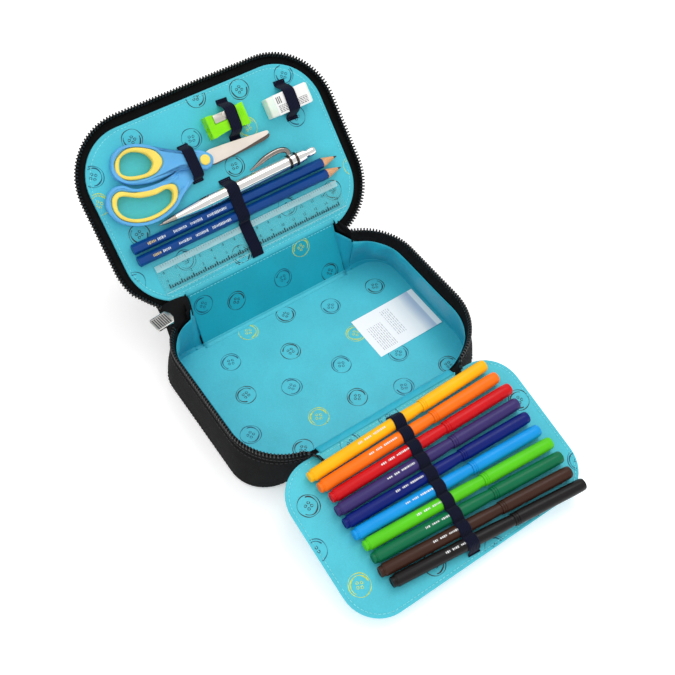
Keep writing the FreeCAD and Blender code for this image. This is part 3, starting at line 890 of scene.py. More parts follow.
def bridge(name, rows, body, look, slot, thick):
    """A sheet through rows of points in the frame of the base, with a thickness."""
    count = len(rows[0])
    points = np.vstack(rows)
    o = add(name, points, grid(len(rows), count), body, look, on_base, slot=slot, crease=60,
            uv=strip_uv(len(rows), count, points))
    thicken(o, thick)


def curve_rows(points, count):
    """A smooth line through a few (y, z) points, as count points, for folds."""
    p = np.asarray(points, float)
    return cubic(p, np.gradient(p, distance(p), axis=0), count)


def across(line, half, count=30):
    """Rows of points: a (y, z) line repeated across the case."""
    xs = np.linspace(-half, half, count)
    return [np.column_stack([xs, np.full(count, y), np.full(count, z)]) for y, z in line]


def hinges():
    """Fabric at the folds: the printed fold inside, the black spine outside, and the strip at the flap."""
    lid_face = edge_at(on_lid, CREASE_V + 1.9, BOARD_W + 0.06)
    lid_near = edge_at(on_lid, CREASE_V + 0.5, BOARD_W + 0.1)
    back_near = edge_at(on_back, BACK_LENGTH - 0.6, 0.1)
    back_face = edge_at(on_back, BACK_LENGTH - 2.0, 0.04)
    fold = curve_rows([back_face, back_near, lid_near, lid_face], 9)
    body = ("back_panel", "lid", (0, *back_face), (0, *lid_face))
    bridge("inner_fold", across(fold, 66.2), body, material("lining"), "turquoise_lining", 0.35)
    outer = [(on_back, BACK_LENGTH - 12.5, -13.0), (on_back, BACK_LENGTH - 7.5, -13.6), (on_lid, 13.2, -13.0),
             (on_lid, 18.5, -12.4), (on_lid, 24.0, -12.35)]
    spine = curve_rows([edge_at(*spot) for spot in outer], 14)
    bridge("spine_fabric", across(spine, 68.5), ("back_panel", "lid", (0, *spine[2]), (0, *spine[-4])),
           material("fabric"), "black_fabric", 0.8)
    foot = curve_rows([(66.6, BOARD_TOP + 0.1), (69.4, BOARD_TOP + 0.25), edge_at(on_back, 2.2, 0.12)], 7)
    bridge("foot_fold", across(foot, 66.0), "base", material("lining"), "turquoise_lining", 0.25)
    back_foot = curve_rows([(73.5, 0.35), (76.0, 0.9), (77.3, 3.2), (77.6, 6.0), (77.7, 9.5)], 10)
    bridge("back_foot_fabric", across(back_foot, 72.5), "base", material("fabric"), "black_fabric", 0.8)
    line = curve_rows([(-69.6, 33.4), (-70.2, 36.6), (-71.6, 38.7), (-74.2, 40.1), (-77.2, 40.35)], 12)
    rows = across(line, 57.0, 60)
    for k, row in enumerate(rows):
        slope = math.sin(math.pi * k / 11)
        row[:, 2] += 0.35 * np.sin(row[:, 0] * 0.5 + k) * slope * np.abs(np.sin(row[:, 0] * 0.13))
    # the hinge strip takes the darker lining, as painted shade
    bridge("flap_hinge_fabric", rows, ("base", "flap", (0, *line[2]), (0, *line[-2])),
           material("painted_shade_lining"), "turquoise_lining", 0.35)


def board_y(z):
    """Where the back board's face is at height z."""
    return FOLD_FOOT[0] + (z - FOLD_FOOT[1]) * (FOLD_TOP[0] - FOLD_FOOT[0]) / (FOLD_TOP[1] - FOLD_FOOT[1])


def corner_fabric():
    """The soft corners between the wall's ends and the back, inside and outside. They fold with the back."""
    for side, label in ((-1, "left"), (1, "right")):
        rows, outer = [], []
        for z in np.linspace(2.4, WALL_TOP + 0.4, 12):
            ring = base_ring(z, 2.35)
            end = ring[0] if side < 0 else ring[-1]
            ring = base_ring(z, 2.35 + slack(*end) * smoothstep((z - SLACK_FROM) / (WALL_TOP - SLACK_FROM)))
            near = ring[:2][::-1] if side < 0 else ring[-2:]
            far = np.array((side * 63.5, board_y(z) + 2.6))
            middle = near[1] * 0.5 + far * 0.5 + (0, 0.6)
            rows.append(np.array([(*near[0], z), (*near[1], z), (*middle, z), (*far, z)]))
        rows.insert(0, rows[0] - (side * 3.0, 7.0, 0.15))
        # the inner corners take the darker lining, as painted shade
        bridge(f"corner_lining_{label}", rows, "back_panel", material("painted_shade_lining"), "turquoise_lining",
               0.45)
        for z in np.linspace(0.6, 46.0, 14):
            ring = base_ring(min(z, WALL_TOP), 0.9)
            wall = ring[:2][::-1] if side < 0 else ring[-2:]
            deep = 5.0 + 7.0 * smoothstep(z / 40)
            far = np.array((side * 65.4, board_y(z) + deep))
            middle = wall[1] * 0.45 + far * 0.55 + (side * 1.2, 0.0)
            outer.append(np.array([(*wall[0], z), (*wall[1], z), (*middle, z), (*far, z)]))
        bridge(f"corner_back_{label}", outer, "back_panel", material("fabric"), "black_fabric", 0.8)


def lid_strip(name, low, high, count, bulge):
    """A soft strip from a line on the base to one on the lid, bulging between them."""
    low, high = smooth_path(low, count), smooth_path(high, count)
    rows = []
    for t in np.linspace(0, 1, 12):
        lift = math.sin(math.pi * t) * bulge
        rows.append(low * (1 - t) + high * t + (0, -0.6 * lift, 0.8 * lift))
    body = ("base", "lid", tuple(low.mean(0)), tuple(high.mean(0)))
    bridge(name, rows, body, material("fabric"), "black_fabric", 0.8)


def zip_ends():
    """Where the two zips meet: a gusset on each side, and on the left a soft cover over their ends."""
    high = on_lid([(-89.6, 14.6, -4.6), (-87.0, 14.4, -2.6), (-79.2, 14.9, -2.4), (-73.4, 14.6, -2.4),
                   (-67.4, 13.4, -2.8), (-65.6, 11.0, -3.6)])
    low = [(-95.0, 58.6, 46.4), (-91.6, 63.2, 46.6), (-86.5, 67.6, 43.0), (-79.5, 71.8, 38.5),
           (-71.5, 75.2, 34.0), (-66.6, board_y(30.0) - 0.8, 30.0)]
    lid_strip("zip_end_cover", low, high, 26, 2.4)
    high = on_lid([(67.0, 13.6, -4.4), (68.6, 9.6, -4.6), (71.0, 6.4, -4.8), (74.5, 5.4, -5.0)])
    low = [(67.0, board_y(40.0) - 0.6, 40.0), (69.2, 77.6, 40.4), (71.6, 74.6, 40.8), (75.0, 72.8, 41.0)]
    lid_strip("gusset_right", low, high, 18, 0.6)
    high = on_lid([(-89.0, 15.0, -6.0), (-84.0, 12.5, -8.4), (-76.0, 10.0, -8.8), (-67.0, 10.0, -9.0)])
    low = [(-91.0, 60.0, 40.0), (-86.0, 66.6, 40.0), (-78.0, 72.4, 40.0), (-68.0, 80.0, 40.0)]
    lid_strip("gusset_left", low, high, 18, -1.0)


# ---- lid ----
LID_PRINTS = [(-53, 131), (-12, 115), (38, 134), (76, 131), (10, 84), (72, 99), (-78, 68), (-55, 37),
              (-14, 22), (-96, 38), (76, 36), (36, 40), (4, 141), (-90, 118)]
LID_YELLOW = [(32, 106), (-95, 99), (100, 47)]


def lid_board_outline(inset):
    """The lid's board: round corners, and a notch below where the crease runs between the corners."""
    x, y0, y1 = LID_SIZE[0] / 2 - BOARD_INSET, LID_GAP + BOARD_INSET, LID_GAP + LID_SIZE[1] - BOARD_INSET
    r, notch, crease = BOARD_CORNER, 67.2 + inset, CREASE_V + 0.1 + inset
    low, high = np.array((x - r, y0 + r)), np.array((x - r, y1 - r))
    r -= inset

    def arc(centre, first, last):
        t = np.linspace(first, last, 16)[:, None]
        return centre + r * np.hstack([np.cos(t), np.sin(t)])
    corner = arc(low, -math.acos((notch - low[0]) / r), 0)
    up = np.linspace(0, 1, 10)[1:-1, None]
    side = corner[-1] * (1 - up) + (high + (r, 0)) * up
    top = arc(high, 0, math.pi / 2)
    right = np.vstack([[(notch, crease)], corner, side, top])
    edge = np.column_stack([np.linspace(-notch, notch, 24)[1:-1], np.full(22, crease)])
    return np.vstack([right, right[::-1] * (-1, 1), edge])


def lid_cover_outline(inset):
    """The padded lid's outline, with a straight notch for the folding back."""
    w, d, r = LID_SIZE
    x, y0, y1, r = w / 2 - inset, LID_GAP + inset, LID_GAP + d - inset, r - inset
    path = rounded([(0, y0, 0), (x, y0, r), (x, y1, r), (-x, y1, r), (-x, y0, r), (0, y0, 0)], False, 20, 24)
    edge, back = BACK_GAP + 0.8, CREASE_V + 1.2 + inset * 0.4
    low = (path[:, 1] < back) & (np.abs(path[:, 0]) < edge)
    path[low, 1] = back
    return path


def lid_parts():
    """The lid's padded outside, its printed board with a sewn edge, its zip tape and its teeth."""
    profile = [(14, -11.9), (9, -11.9), (5.2, -11.5), (2.4, -10.6), (0.8, -9.4), (0.2, -8.2), (0.0, -7.2),
               (0.6, -6.6), (1.6, -6.2), (4, -6.15), (8, -6.1)]
    rings = [lid_cover_outline(inset) for inset, _ in profile]
    crown = [rings[0] * (0.75, 0.75) + (0, 19.2), rings[0] * (0.4, 0.4) + (0, 46.0)]
    rings = crown[::-1] + rings
    heights = [-13.2, -12.8] + [h for _, h in profile]
    points = stack(rings, heights)
    points[:, 2] += 0.3 * np.sin(points[:, 0] * 0.05) * np.sin(points[:, 1] * 0.06) * (points[:, 2] < -9)
    shell = add("lid_cover", points, tube(len(rings), len(rings[0])), "lid", material("fabric"), on_lid,
                slot="black_fabric", instead_of=["lid_shell"])
    stitches("lid_cover_stitches", lid_outline(3.4), -11.25, "lid", material("black_thread"), on_lid,
             "black_fabric", 3.2)
    slab("lid_board_cover", lid_board_outline, board_profile(-6.0, BOARD_W), "lid", material("lining"),
         on_lid, slot="turquoise_lining", instead_of=["lid_board"])
    stitches("lid_board_stitches", lid_outline(BOARD_INSET + SEAM, 69), BOARD_W - 0.06, "lid",
             material("thread"), on_lid, "turquoise_lining", closed=False)
    for k, v in enumerate((CREASE_V + 2.6, CREASE_V + 5.2)):
        stitches(f"crease_stitches_{k + 1}", [(-80 + 4 * k, v), (80 - 4 * k, v)], BOARD_W, "lid",
                 material("thread"), on_lid, "turquoise_lining", closed=False)
    x, y1 = LID_SIZE[0] / 2 - BOARD_INSET, LID_GAP + LID_SIZE[1] - BOARD_INSET
    inside = in_rounded(-x + 0.6, x - 0.6, CREASE_V + 1, y1 - 0.6, BOARD_CORNER)
    face_prints("lid", LID_PRINTS[::2], LID_PRINTS[1::2], LID_YELLOW, ("black", "teal"), BOARD_W, "lid",
                on_lid, inside)
    path = lid_outline(0.4, WALL_END)
    path = path[(path[:, 0] > -86) | (path[:, 1] > 30)]
    splay = [(out + 0.16 * h, h) for out, h in TAPE_PROFILE]
    points, faces = wrap_strip(path, splay)
    points[:, 2] -= 9.3
    add("lid_tape", points, faces, "lid", material("tape"), on_lid, slot="zip_tape",
        instead_of=["lid_zip_tape"], uv=strip_uv(len(splay), len(path), points))
    n = normals_of(path, False)
    spots, along = resample(path + n * 1.1, TOOTH_PITCH, False)
    points, faces = planted(TOOTH, spots, along, lean=0.5, height=-1.5)
    add("lid_teeth", points, faces, "lid", material("teeth"), on_lid, slot="zip_teeth",
        instead_of=["lid_zip_teeth"])


# ---- flap ----
FLAP_PRINTS = [(-35, -6), (-83, -27), (-95, -54), (-34, -102), (8, -115), (86, -41), (95, -98), (52, -112),
               (-2, -4)]
FLAP_YELLOW = [(-83, -87)]


def flap_board():
    """The flap: a covered board with a sewn edge and its print."""
    w, d, r, thick = FLAP_SIZE
    slab("flap_cover", box_outline(w / 2, -d, 0, r, r), board_profile(-thick, 0.0), "flap",
         material("lining"), on_flap, slot="turquoise_lining", instead_of=["flap_board"])
    path = box_outline(w / 2, -d, 0, r, r)(SEAM)
    stitches("flap_stitches", path, -0.06, "flap", material("thread"), on_flap, "turquoise_lining")
    inside = in_rounded(-w / 2 + 0.6, w / 2 - 0.6, -d + 0.6, -0.6, r)
    face_prints("flap", FLAP_PRINTS[::2], FLAP_PRINTS[1::2], FLAP_YELLOW, ("teal", "black"), 0.0, "flap",
                on_flap, inside)


base_wall()
side_lining()
floor_board()
base_zip()
care_card()
back_board()
hinges()
corner_fabric()
zip_ends()
lid_parts()
flap_board()


# ---- tools for the things in the case ----
def mesh_of(o):
    """The mesh that an object's modifiers or its curve make."""
    return bpy.data.meshes.new_from_object(o.evaluated_get(bpy.context.evaluated_depsgraph_get()))


def apply_modifiers(o):
    """Replaces a piece's mesh by the one its modifiers make."""
    mesh = mesh_of(o)
    o.modifiers.clear()
    o.data = mesh
    return o


def loose(name, points, faces):
    """A mesh object in millimetres in its own local place, for further work."""
    mesh = bpy.data.meshes.new(name)
    mesh.from_pydata([tuple(p) for p in points], [], faces)
    sharpen(mesh, 30)
    o = bpy.data.objects.new(name, mesh)
    bpy.context.scene.collection.objects.link(o)
    return o


def take(o):
    """The points and faces of a loose object, which is then removed."""
    mesh = o.data
    points = np.array([tuple(o.matrix_world @ v.co) for v in mesh.vertices])
    faces = [tuple(p.vertices) for p in mesh.polygons]
    bpy.data.objects.remove(o)
    return points, faces


def bevelled(shape, width, cutters=(), segments=3):
    """A solid with its edges rounded, after other solids are cut from it."""
    o = loose("work", *shape)
    for k, cutter in enumerate(cutters):
        tool = loose(f"cutter_{k}", *cutter)
        cut = o.modifiers.new("cut", "BOOLEAN")
        cut.object = tool
        cut.solver = "EXACT"
        apply_modifiers(o)
        bpy.data.objects.remove(tool)
    bevel = o.modifiers.new("bevel", "BEVEL")
    bevel.width = width
    bevel.segments = segments
    bevel.limit_method = "ANGLE"
    bevel.angle_limit = math.radians(35)
    bpy.context.view_layer.update()
    return take(apply_modifiers(o))


def block(x0, x1, y0, y1, z0, z1):
    """A plain box."""
    points = [(x, y, z) for z in (z0, z1) for x, y in ((x0, y0), (x1, y0), (x1, y1), (x0, y1))]
    faces = [(3, 2, 1, 0), (4, 5, 6, 7)] + [(k, (k + 1) % 4, 4 + (k + 1) % 4, 4 + k) for k in range(4)]
    return np.array(points, float), faces


def prism(path, z0, z1):
    """An upright prism on an outline."""
    return stack([path, path], [z0, z1]), tube(2, len(path))


def smooth_loop(points):
    """A smooth closed outline through a few points."""
    p = np.asarray(points, float)
    n, per = len(p), 7                       # per is the number of points to each stretch
    out = []
    for k in range(n):
        a, b, c, d = p[k - 1], p[k], p[(k + 1) % n], p[(k + 2) % n]
        for t in np.arange(per) / per:
            out.append(0.5 * (2 * b + (c - a) * t + (2 * a - 5 * b + 4 * c - d) * t ** 2
                              + (3 * b - a - 3 * c + d) * t ** 3))
    return np.array(out)


def moulding(outline, hole, z0, z1, radius, steps=4):
    """A ring between two outlines with round edges: every outline is one smooth loop."""
    outer, inner = smooth_loop(outline), smooth_loop(hole)
    sign = [1 if signed_area(c) > 0 else -1 for c in (outer, inner)]
    outer, inner = outer[::sign[0]], inner[::sign[1]]
    n = len(outer)
    nearest = np.argmin(np.linalg.norm(inner - outer[0], axis=1))
    inner = np.roll(inner, -nearest, 0)
    at = np.linspace(0, len(inner), n, endpoint=False)
    inner = np.stack([np.interp(at, np.arange(len(inner) + 1), np.append(inner[:, k], inner[0, k]))
                      for k in (0, 1)], 1)
    turns = np.linspace(0, math.pi / 2, steps)
    half = (z1 - z0) / 2
    middle = (z0 + z1) / 2
    r = min(radius, half)
    no, ni = normals_of(outer), normals_of(inner)
    rings, heights = [], []
    for a in turns:
        rings.append(outer - no * r * (1 - math.cos(a)))
        heights.append(middle + half - r + r * math.sin(a))
    rings.append((rings[-1] + inner + ni * r) / 2)
    heights.append(middle + half)
    for a in turns[::-1]:
        rings.append(inner + ni * r * (1 - math.cos(a)))
        heights.append(middle + half - r + r * math.sin(a))
    rings, heights = rings + rings[::-1], heights + [2 * middle - h for h in heights[::-1]]
    points = stack(rings, heights)
    return points, grid(len(rings), n, wrap_rows=True, wrap_columns=True)


def signed_area(c):
    """An outline's area, negative where it runs clockwise."""
    return 0.5 * float(np.sum(c[:, 0] * np.roll(c[:, 1], -1) - c[:, 1] * np.roll(c[:, 0], -1)))


def lathe(a, b, profile, sides=28, section=None):
    """A turned bar from a towards b. profile lists (distance from a, radius)."""
    a, b = np.asarray(a, float), np.asarray(b, float)
    axis = (b - a) / np.linalg.norm(b - a)
    side = np.cross((0, 0, 1), axis)
    side /= np.linalg.norm(side)
    up = np.cross(axis, side)
    ring = section or [(2 * math.pi * k / sides, 1.0) for k in range(sides)]
    points = [a + axis * s + r * f * (math.cos(t) * side + math.sin(t) * up) for s, r in profile for t,
              f in ring]
    return np.array(points), tube(len(profile), len(ring))


def sweep(path, section, side):
    """A section of (across, out) carried along a path, with its across direction near side."""
    side = np.asarray(side, float)
    t = unit(np.gradient(path, axis=0))
    sides = unit(side - t * (t @ side)[:, None])
    ups = np.cross(sides, t)
    points = np.vstack([p + np.outer([a for a, _ in section], s) + np.outer([b for _, b in section], u)
                        for p, s, u in zip(path, sides, ups)])
    n = len(section)
    ends = [tuple(range(n)), tuple((len(path) - 1) * n + k for k in range(n - 1, -1, -1))]
    return points, grid(len(path), n, wrap_columns=True) + ends


def strap_section(width, thick):
    """A flat band's section with soft edges."""
    w, t = width / 2, thick / 2
    return [(-w + t, -t), (-w * 0.4, -t), (w * 0.4, -t), (w - t, -t), (w, 0), (w - t, t), (w * 0.5, t * 1.15),
            (0, t * 1.2), (-w * 0.5, t * 1.15), (-w + t, t), (-w, 0)]


def spun(points, turn, centre=(0, 0)):
    """Points turned by some degrees about an upright line through centre."""
    c, s = math.cos(math.radians(turn)), math.sin(math.radians(turn))
    x, y = points[:, 0] - centre[0], points[:, 1] - centre[1]
    return np.column_stack([centre[0] + x * c - y * s, centre[1] + x * s + y * c, points[:, 2]])


ELASTIC_THICK = 0.95


def elastic(name, u, width, route, body, place, node, turn=0.0, count=70, narrow=0.0):
    """A loop of elastic over the points (along the strap, height) of route, sewn down at its ends."""
    route = np.asarray(route, float)
    line = smooth_path(np.column_stack([np.full(len(route), u), route]), count)
    section = strap_section(width, ELASTIC_THICK)
    points, faces = sweep(line, section, (1, 0, 0))
    lift = (line[:, 2] - line[:, 2].min()) / max(1e-6, np.ptp(line[:, 2]))
    points[:, 0] = u + (points[:, 0] - u) * np.repeat(1 - narrow * lift, len(section))
    uv = np.column_stack([np.repeat(distance(line), len(section)), points[:, 0] - u])
    centre = (u, (route[0, 0] + route[-1, 0]) / 2)
    add(name, spun(points, turn, centre), faces, body, material("elastic"), place, slot="navy_elastic",
        instead_of=[node], uv=uv)
    low = line[:, 2].min() + ELASTIC_THICK * 0.6
    rows = []
    for v in (route[0, 0] + 1.2, route[-1, 0] - 1.2):
        spots, along = resample(np.array([(u - width * 0.4, v), (u + width * 0.4, v)]), 1.5, False)
        rows.append(planted((STITCH[0] * (0.55, 0.8, 1), STITCH[1]), spots, along, height=low - 0.02))
    points, faces = joined(rows)
    add(name + "_stitches", spun(points, turn, centre), faces, body, material("navy_thread"), place,
        slot="navy_elastic")


def patch(x0, x1, y0, y1, z):
    """The corners of a small flat mark."""
    return [(x0, y0, z), (x1, y0, z), (x1, y1, z), (x0, y1, z)]


def marks(name, quads, body, look, place, slot):
    """Small flat printed marks: quads of (x, y, z)."""
    points, faces = joined([(np.array(q, float), [(0, 1, 2, 3)]) for q in quads])
    return add(name, points, faces, body, look, place, slot=slot, fix=False)


REST_W = BOARD_W + 0.1                       # where things lie on the lid's board


# ---- sharpener and eraser ----
def sharpener():
    """A block sharpener with a waist and grooved sides, its blade and screw, and three ridges."""
    x0, x1, y0, y1, low, top = 0.5, 32.0, 108.2, 125.0, REST_W, 7.2
    waist = [(2.5 + k * (x1 - x0 - 5) / 12, 1.5 * math.sin(math.pi * k / 12)) for k in range(13)]
    outline = [(x0, y0)] + [(x0 + u, y0 + v) for u, v in waist] + [(x1, y0), (x1, y1)]
    outline += [(x1 - u, y1 - v) for u, v in waist] + [(x0, y1)]
    cutters = [block(5.4, 24, 117.0, 124.6, 6.0, 9)]
    cutters.append(lathe((x0 - 1, 113.4, 2.0), (x1, 113.4, 2.0), [(0, 4.05), (24, 0.8)], 24))
    for k in range(6):
        for y in (y0 + 0.5, y1 - 0.5):
            spot = (7 + 3.4 * k, y, low - 1)
            cutters.append(lathe(spot, (spot[0] + 0.001, y, 9), [(0, 0.85), (7.5, 0.85)], 10))
    points, faces = bevelled(prism(np.array(outline), low, top), 0.45, cutters)
    look = plastic("lime_plastic", (134, 228, 0), 0.4, 0.0, Specular_IOR_Level=0.3, Subsurface_Weight=0.15,
                   Subsurface_Scale=0.004)
    add("sharpener_case", points, faces, "lid", look, on_lid, slot="lime_plastic",
        instead_of=["sharpener_body"], crease=35)
    steel = metal("steel_small", (214, 208, 200), 0.3, (0.15, 1, 1))
    points, faces = bevelled(block(6.4, 20.4, 117.7, 123.9, 6.05, 6.95), 0.2,
                             [lathe((16, 121.6, 4), (16.001, 121.6, 9), [(0, 1.3), (4, 1.3)], 20)])
    add("sharpener_blade_plate", points, faces, "lid", steel, on_lid, slot="steel",
        instead_of=["sharpener_blade"])
    head = lathe((16, 121.6, 6.6), (16.0001, 121.6, 9), [(0, 2.3), (0.9, 2.35), (1.15, 2.1), (1.25, 1.6)], 28)
    points, faces = bevelled(head, 0.05, [block(15.65, 16.35, 118, 125, 7.4, 9)])
    add("sharpener_screw", points, faces, "lid", steel, on_lid, slot="steel")
    ridges = [block(26.4 + 1.5 * k, 27.1 + 1.5 * k, 115.0, 121.6, 7.1, 7.45) for k in range(3)]
    points, faces = joined([bevelled(ridge, 0.15) for ridge in ridges])
    add("sharpener_ridges", points, faces, "lid", look, on_lid, slot="lime_plastic")


def eraser():
    """A vinyl eraser in a printed card sleeve, whose print is plain bars."""
    points, faces = bevelled(block(50, 86, 104.6, 119.8, REST_W, 7.55), 1.1, segments=4)
    look = plastic("eraser_vinyl", (226, 236, 224), 0.6, 0.0, grain=0.6, depth=0.05, Subsurface_Weight=0.3,
                   Subsurface_Scale=0.004)
    add("eraser_stick", points, faces, "lid", look, on_lid, slot="eraser_white", instead_of=["eraser_block"])
    points, faces = bevelled(block(55.6, 84.6, 104.3, 120.1, REST_W - 0.02, 7.9), 0.5)
    card = plastic("eraser_card", (240, 240, 238), 0.45, 0.15, wear=0.03)
    add("eraser_wrap", points, faces, "lid", card, on_lid, slot="sleeve_white", instead_of=["eraser_sleeve"])
    top = 7.96
    quads = []
    for u0, u1 in ((57.4, 61.0), (70.6, 74.0)):
        u = u0
        while u < u1:
            quads.append(patch(u, u + 0.7, 112.6, 117.8, top))
            u += 1.5
    for row in range(5):
        u = 57.4
        while u < 82.0:
            length = rng.uniform(0.8, 2.2)
            v = 106.0 + 1.15 * row
            quads.append(patch(u, min(u + length, 82.4), v, v + 0.5, top))
            u += length + 0.6
    marks("eraser_marks", quads, "lid", ink("eraser_print", (46, 36, 42)), on_lid, "sleeve_white")


# ---- scissors ----
UPPER_OUTER = [(-77.5, 117), (-73, 126), (-64, 129.5), (-54, 127.5), (-44, 122), (-34, 115), (-22, 108.5),
               (-11, 105), (-4.5, 97.5), (-9, 90.6), (-19, 92), (-29, 98.6), (-40, 97.6), (-54, 98),
               (-67, 101.5), (-75, 107.5)]
UPPER_INNER = [(-75.6, 114), (-72, 122), (-62, 126.4), (-52, 124), (-43, 117.5), (-41, 108.5), (-49, 103),
               (-61, 103.4), (-71, 107)]
UPPER_HOLE = [(-72.4, 114.5), (-68, 122), (-59, 123.4), (-50.5, 118.6), (-47.6, 111), (-53.5, 105.8),
              (-63.5, 106.8), (-70.5, 110)]
LOWER_OUTER = [(-92.5, 91), (-90.5, 100), (-83, 105.2), (-75, 104.6), (-68, 99), (-58, 95.6), (-46, 94.6),
               (-36, 96), (-26, 101.5), (-14, 105), (-5, 99), (-8, 91), (-18, 90), (-29, 88), (-37, 83),
               (-44, 76), (-54, 72.4), (-66, 71.4), (-78, 74.2), (-88, 81)]
LOWER_INNER = [(-88.6, 91), (-86, 99), (-79, 101.4), (-70, 96.8), (-57, 94), (-46, 93.2), (-39.5, 89),
               (-42.5, 80), (-53, 74.8), (-66, 73.6), (-78, 76.8), (-86, 83)]
LOWER_HOLE = [(-85.4, 91), (-82.6, 96.8), (-77.4, 97.2), (-67, 91.6), (-56, 89.2), (-46.6, 89.6), (-43.6, 86),
              (-47.5, 79.8), (-57, 76.8), (-68, 76.8), (-78, 79.8), (-84, 85)]
PIVOT = (-11.5, 97.4)
HANDLE_TOP = 3.9


def scissors():
    """Two ringed handles with soft inserts, two blades, and the disc on their pivot."""
    blue = plastic("scissor_shell", (92, 172, 226), 0.42, 0.0, Specular_IOR_Level=0.35,
                   Subsurface_Weight=0.12, Subsurface_Scale=0.004)
    yellow = plastic("scissor_grip", (248, 220, 100), 0.5, 0.0, Specular_IOR_Level=0.3,
                     Subsurface_Weight=0.15, Subsurface_Scale=0.004)
    for label, outer, inner, hole, body, low in (("upper", UPPER_OUTER, UPPER_INNER, UPPER_HOLE,
                                                  "scissors_half", 0.5), ("lower", LOWER_OUTER, LOWER_INNER,
                                                                          LOWER_HOLE, "lid", REST_W)):
        points, faces = moulding(outer, inner, REST_W, HANDLE_TOP, 2.2, 6)
        neck = points[:, 0] > -34
        if label == "upper":
            points[neck, 2] = np.maximum(points[neck, 2], 0.5)
        else:
            points[neck, 2] = np.minimum(points[neck, 2], 0.2)
        add(f"scissor_shell_{label}", points, faces, body, blue, on_lid, slot="scissor_blue",
            instead_of=[f"scissors_handle_{label}"], crease=50)
        points, faces = moulding(inner, hole, REST_W + 0.3, HANDLE_TOP + 0.3, 1.5, 5)
        add(f"scissor_grip_{label}", points, faces, body, yellow, on_lid, slot="scissor_yellow",
            instead_of=[f"scissors_insert_{label}"], crease=50)
    steel = plastic("scissor_steel", (238, 226, 214), 0.35, 0.1, 0.05, grain=0.6, Metallic=0.25)
    # painted shade: a darker copy of the blade steel for the lower blade, under the upper one
    dark = plastic("scissor_steel_painted_shade", (96, 84, 76), 0.35, 0.1, 0.08, grain=0.6, Metallic=0.4)
    tang = [(-17, 101), (-17, 94)]
    front = tang + [(-4, 91.9), (10, 92.3), (22, 93.2), (34, 94.6), (41.4, 95.4), (43.6, 96.0), (44.4, 97.0),
                    (44.0, 98.2), (42.6, 98.8), (36, 99.4), (20, 101.0), (6, 102.3), (-4, 102.9)]
    rear = tang + [(-4, 91.0), (10, 91.2), (24, 91.6), (38, 92.3), (43.2, 93.2), (44.8, 94.6), (44.4, 96.6),
                   (36, 97.6), (20, 99), (-4, 101)]
    for label, shape, z0, z1, body, look in (("front", front, 0.45, 1.65, "scissors_half", steel),
                                             ("rear", rear, -1.05, 0.15, "lid", dark)):
        points, faces = bevelled(prism(np.array(shape, float), z0, z1), 0.3)
        add(f"scissor_blade_{label}", points, faces, body, look, on_lid, slot="steel",
            instead_of=[f"scissors_blade_{label}"], crease=30)
    u, v = PIVOT
    tall = HANDLE_TOP - REST_W
    disc = [(0, 2.0), (tall, 3.9), (tall + 0.75, 3.8), (tall + 1.0, 3.4), (tall + 0.95, 2.4),
            (tall + 0.75, 2.2), (tall + 0.75, 0.2)]
    points, faces = lathe((u, v, REST_W), (u + 0.001, v, 9), disc, 36)
    add("scissor_pivot_disc", points, faces, "lid", yellow, on_lid, slot="scissor_yellow",
        instead_of=["scissors_pivot"])


# ---- ruler ----
RULER_CM = 15


def ruler():
    """A clear ruler with frosted edges, a tick for each millimetre and a figure for each centimetre."""
    u0, u1, v0, v1 = -79.6, 81.4, 19.9, 42.6
    low, top = REST_W, REST_W + 1.4
    s = Surface("clear_plastic", (120, 214, 218), 0.08, Alpha=0.16, Coat_Weight=0.4)
    s.bump(s.noise(30, 2), 0.1, 0.05)
    points, faces = bevelled(block(u0, u1, v0, v1, low, top), 0.35)
    add("ruler_strip", points, faces, "lid", s.material, on_lid, slot="clear_plastic", instead_of=["ruler"])
    frost = Surface("ruler_frost", (206, 240, 244), 0.5, Alpha=0.5)
    frost.tint(frost.noise(3, 4, (0.2, 1, 1)), 0.1)
    h = top + 0.04
    edges = [patch(u0 + 0.6, u1 - 0.6, a, b, h) for a, b in ((v1 - 5.2, v1 - 0.4), (v0 + 0.3, v0 + 0.7))]
    marks("ruler_edges", edges, "lid", frost.material, on_lid, "clear_plastic")
    h = top + 0.07
    dark = ink("ruler_print", (6, 16, 26))
    quads = []
    zero, foot, head = u0 + 5.2, v0 + 3.0, v1 - 0.6
    for k in range(10 * RULER_CM + 1):
        u = zero + k
        length = 3.4 if k % 10 == 0 else 2.7 if k % 5 == 0 else 2.1 if k % 2 == 0 else 1.2
        half = 0.42 if k % 2 == 0 else 0.13
        quads.append(patch(u - half, u + half, foot, foot + length, h))
        if k % 2 == 0:
            quads.append(patch(u - 0.08, u + 0.08, head - length * 0.8, head, h))
    marks("ruler_ticks", quads, "lid", dark, on_lid, "clear_plastic")
    parts = []
    for k in range(RULER_CM + 1):
        text = bpy.data.curves.new("figure", "FONT")
        text.body = str(k)
        text.size = 2.9
        text.align_x = "CENTER"
        text.resolution_u = 3
        for v in (v0 + 8.0, v1 - 8.2):
            o = bpy.data.objects.new("figure", text)
            bpy.context.scene.collection.objects.link(o)
            o.location = (zero + 10 * k, v, h)
            bpy.context.view_layer.update()
            mesh = mesh_of(o)
            points = np.array([tuple(o.matrix_world @ p.co) for p in mesh.vertices])
            parts.append((points, [tuple(p.vertices) for p in mesh.polygons]))
            bpy.data.objects.remove(o)
    points, faces = joined(parts)
    add("ruler_figures", points, faces, "lid", dark, on_lid, slot="clear_plastic", fix=False)


# ---- pencils ----
PENCIL_LINES = [(60.0, 59.0), (50.6, 49.8)]
PENCIL_R = 4.04
PENCIL_ENDS = (-88.4, 75.0)


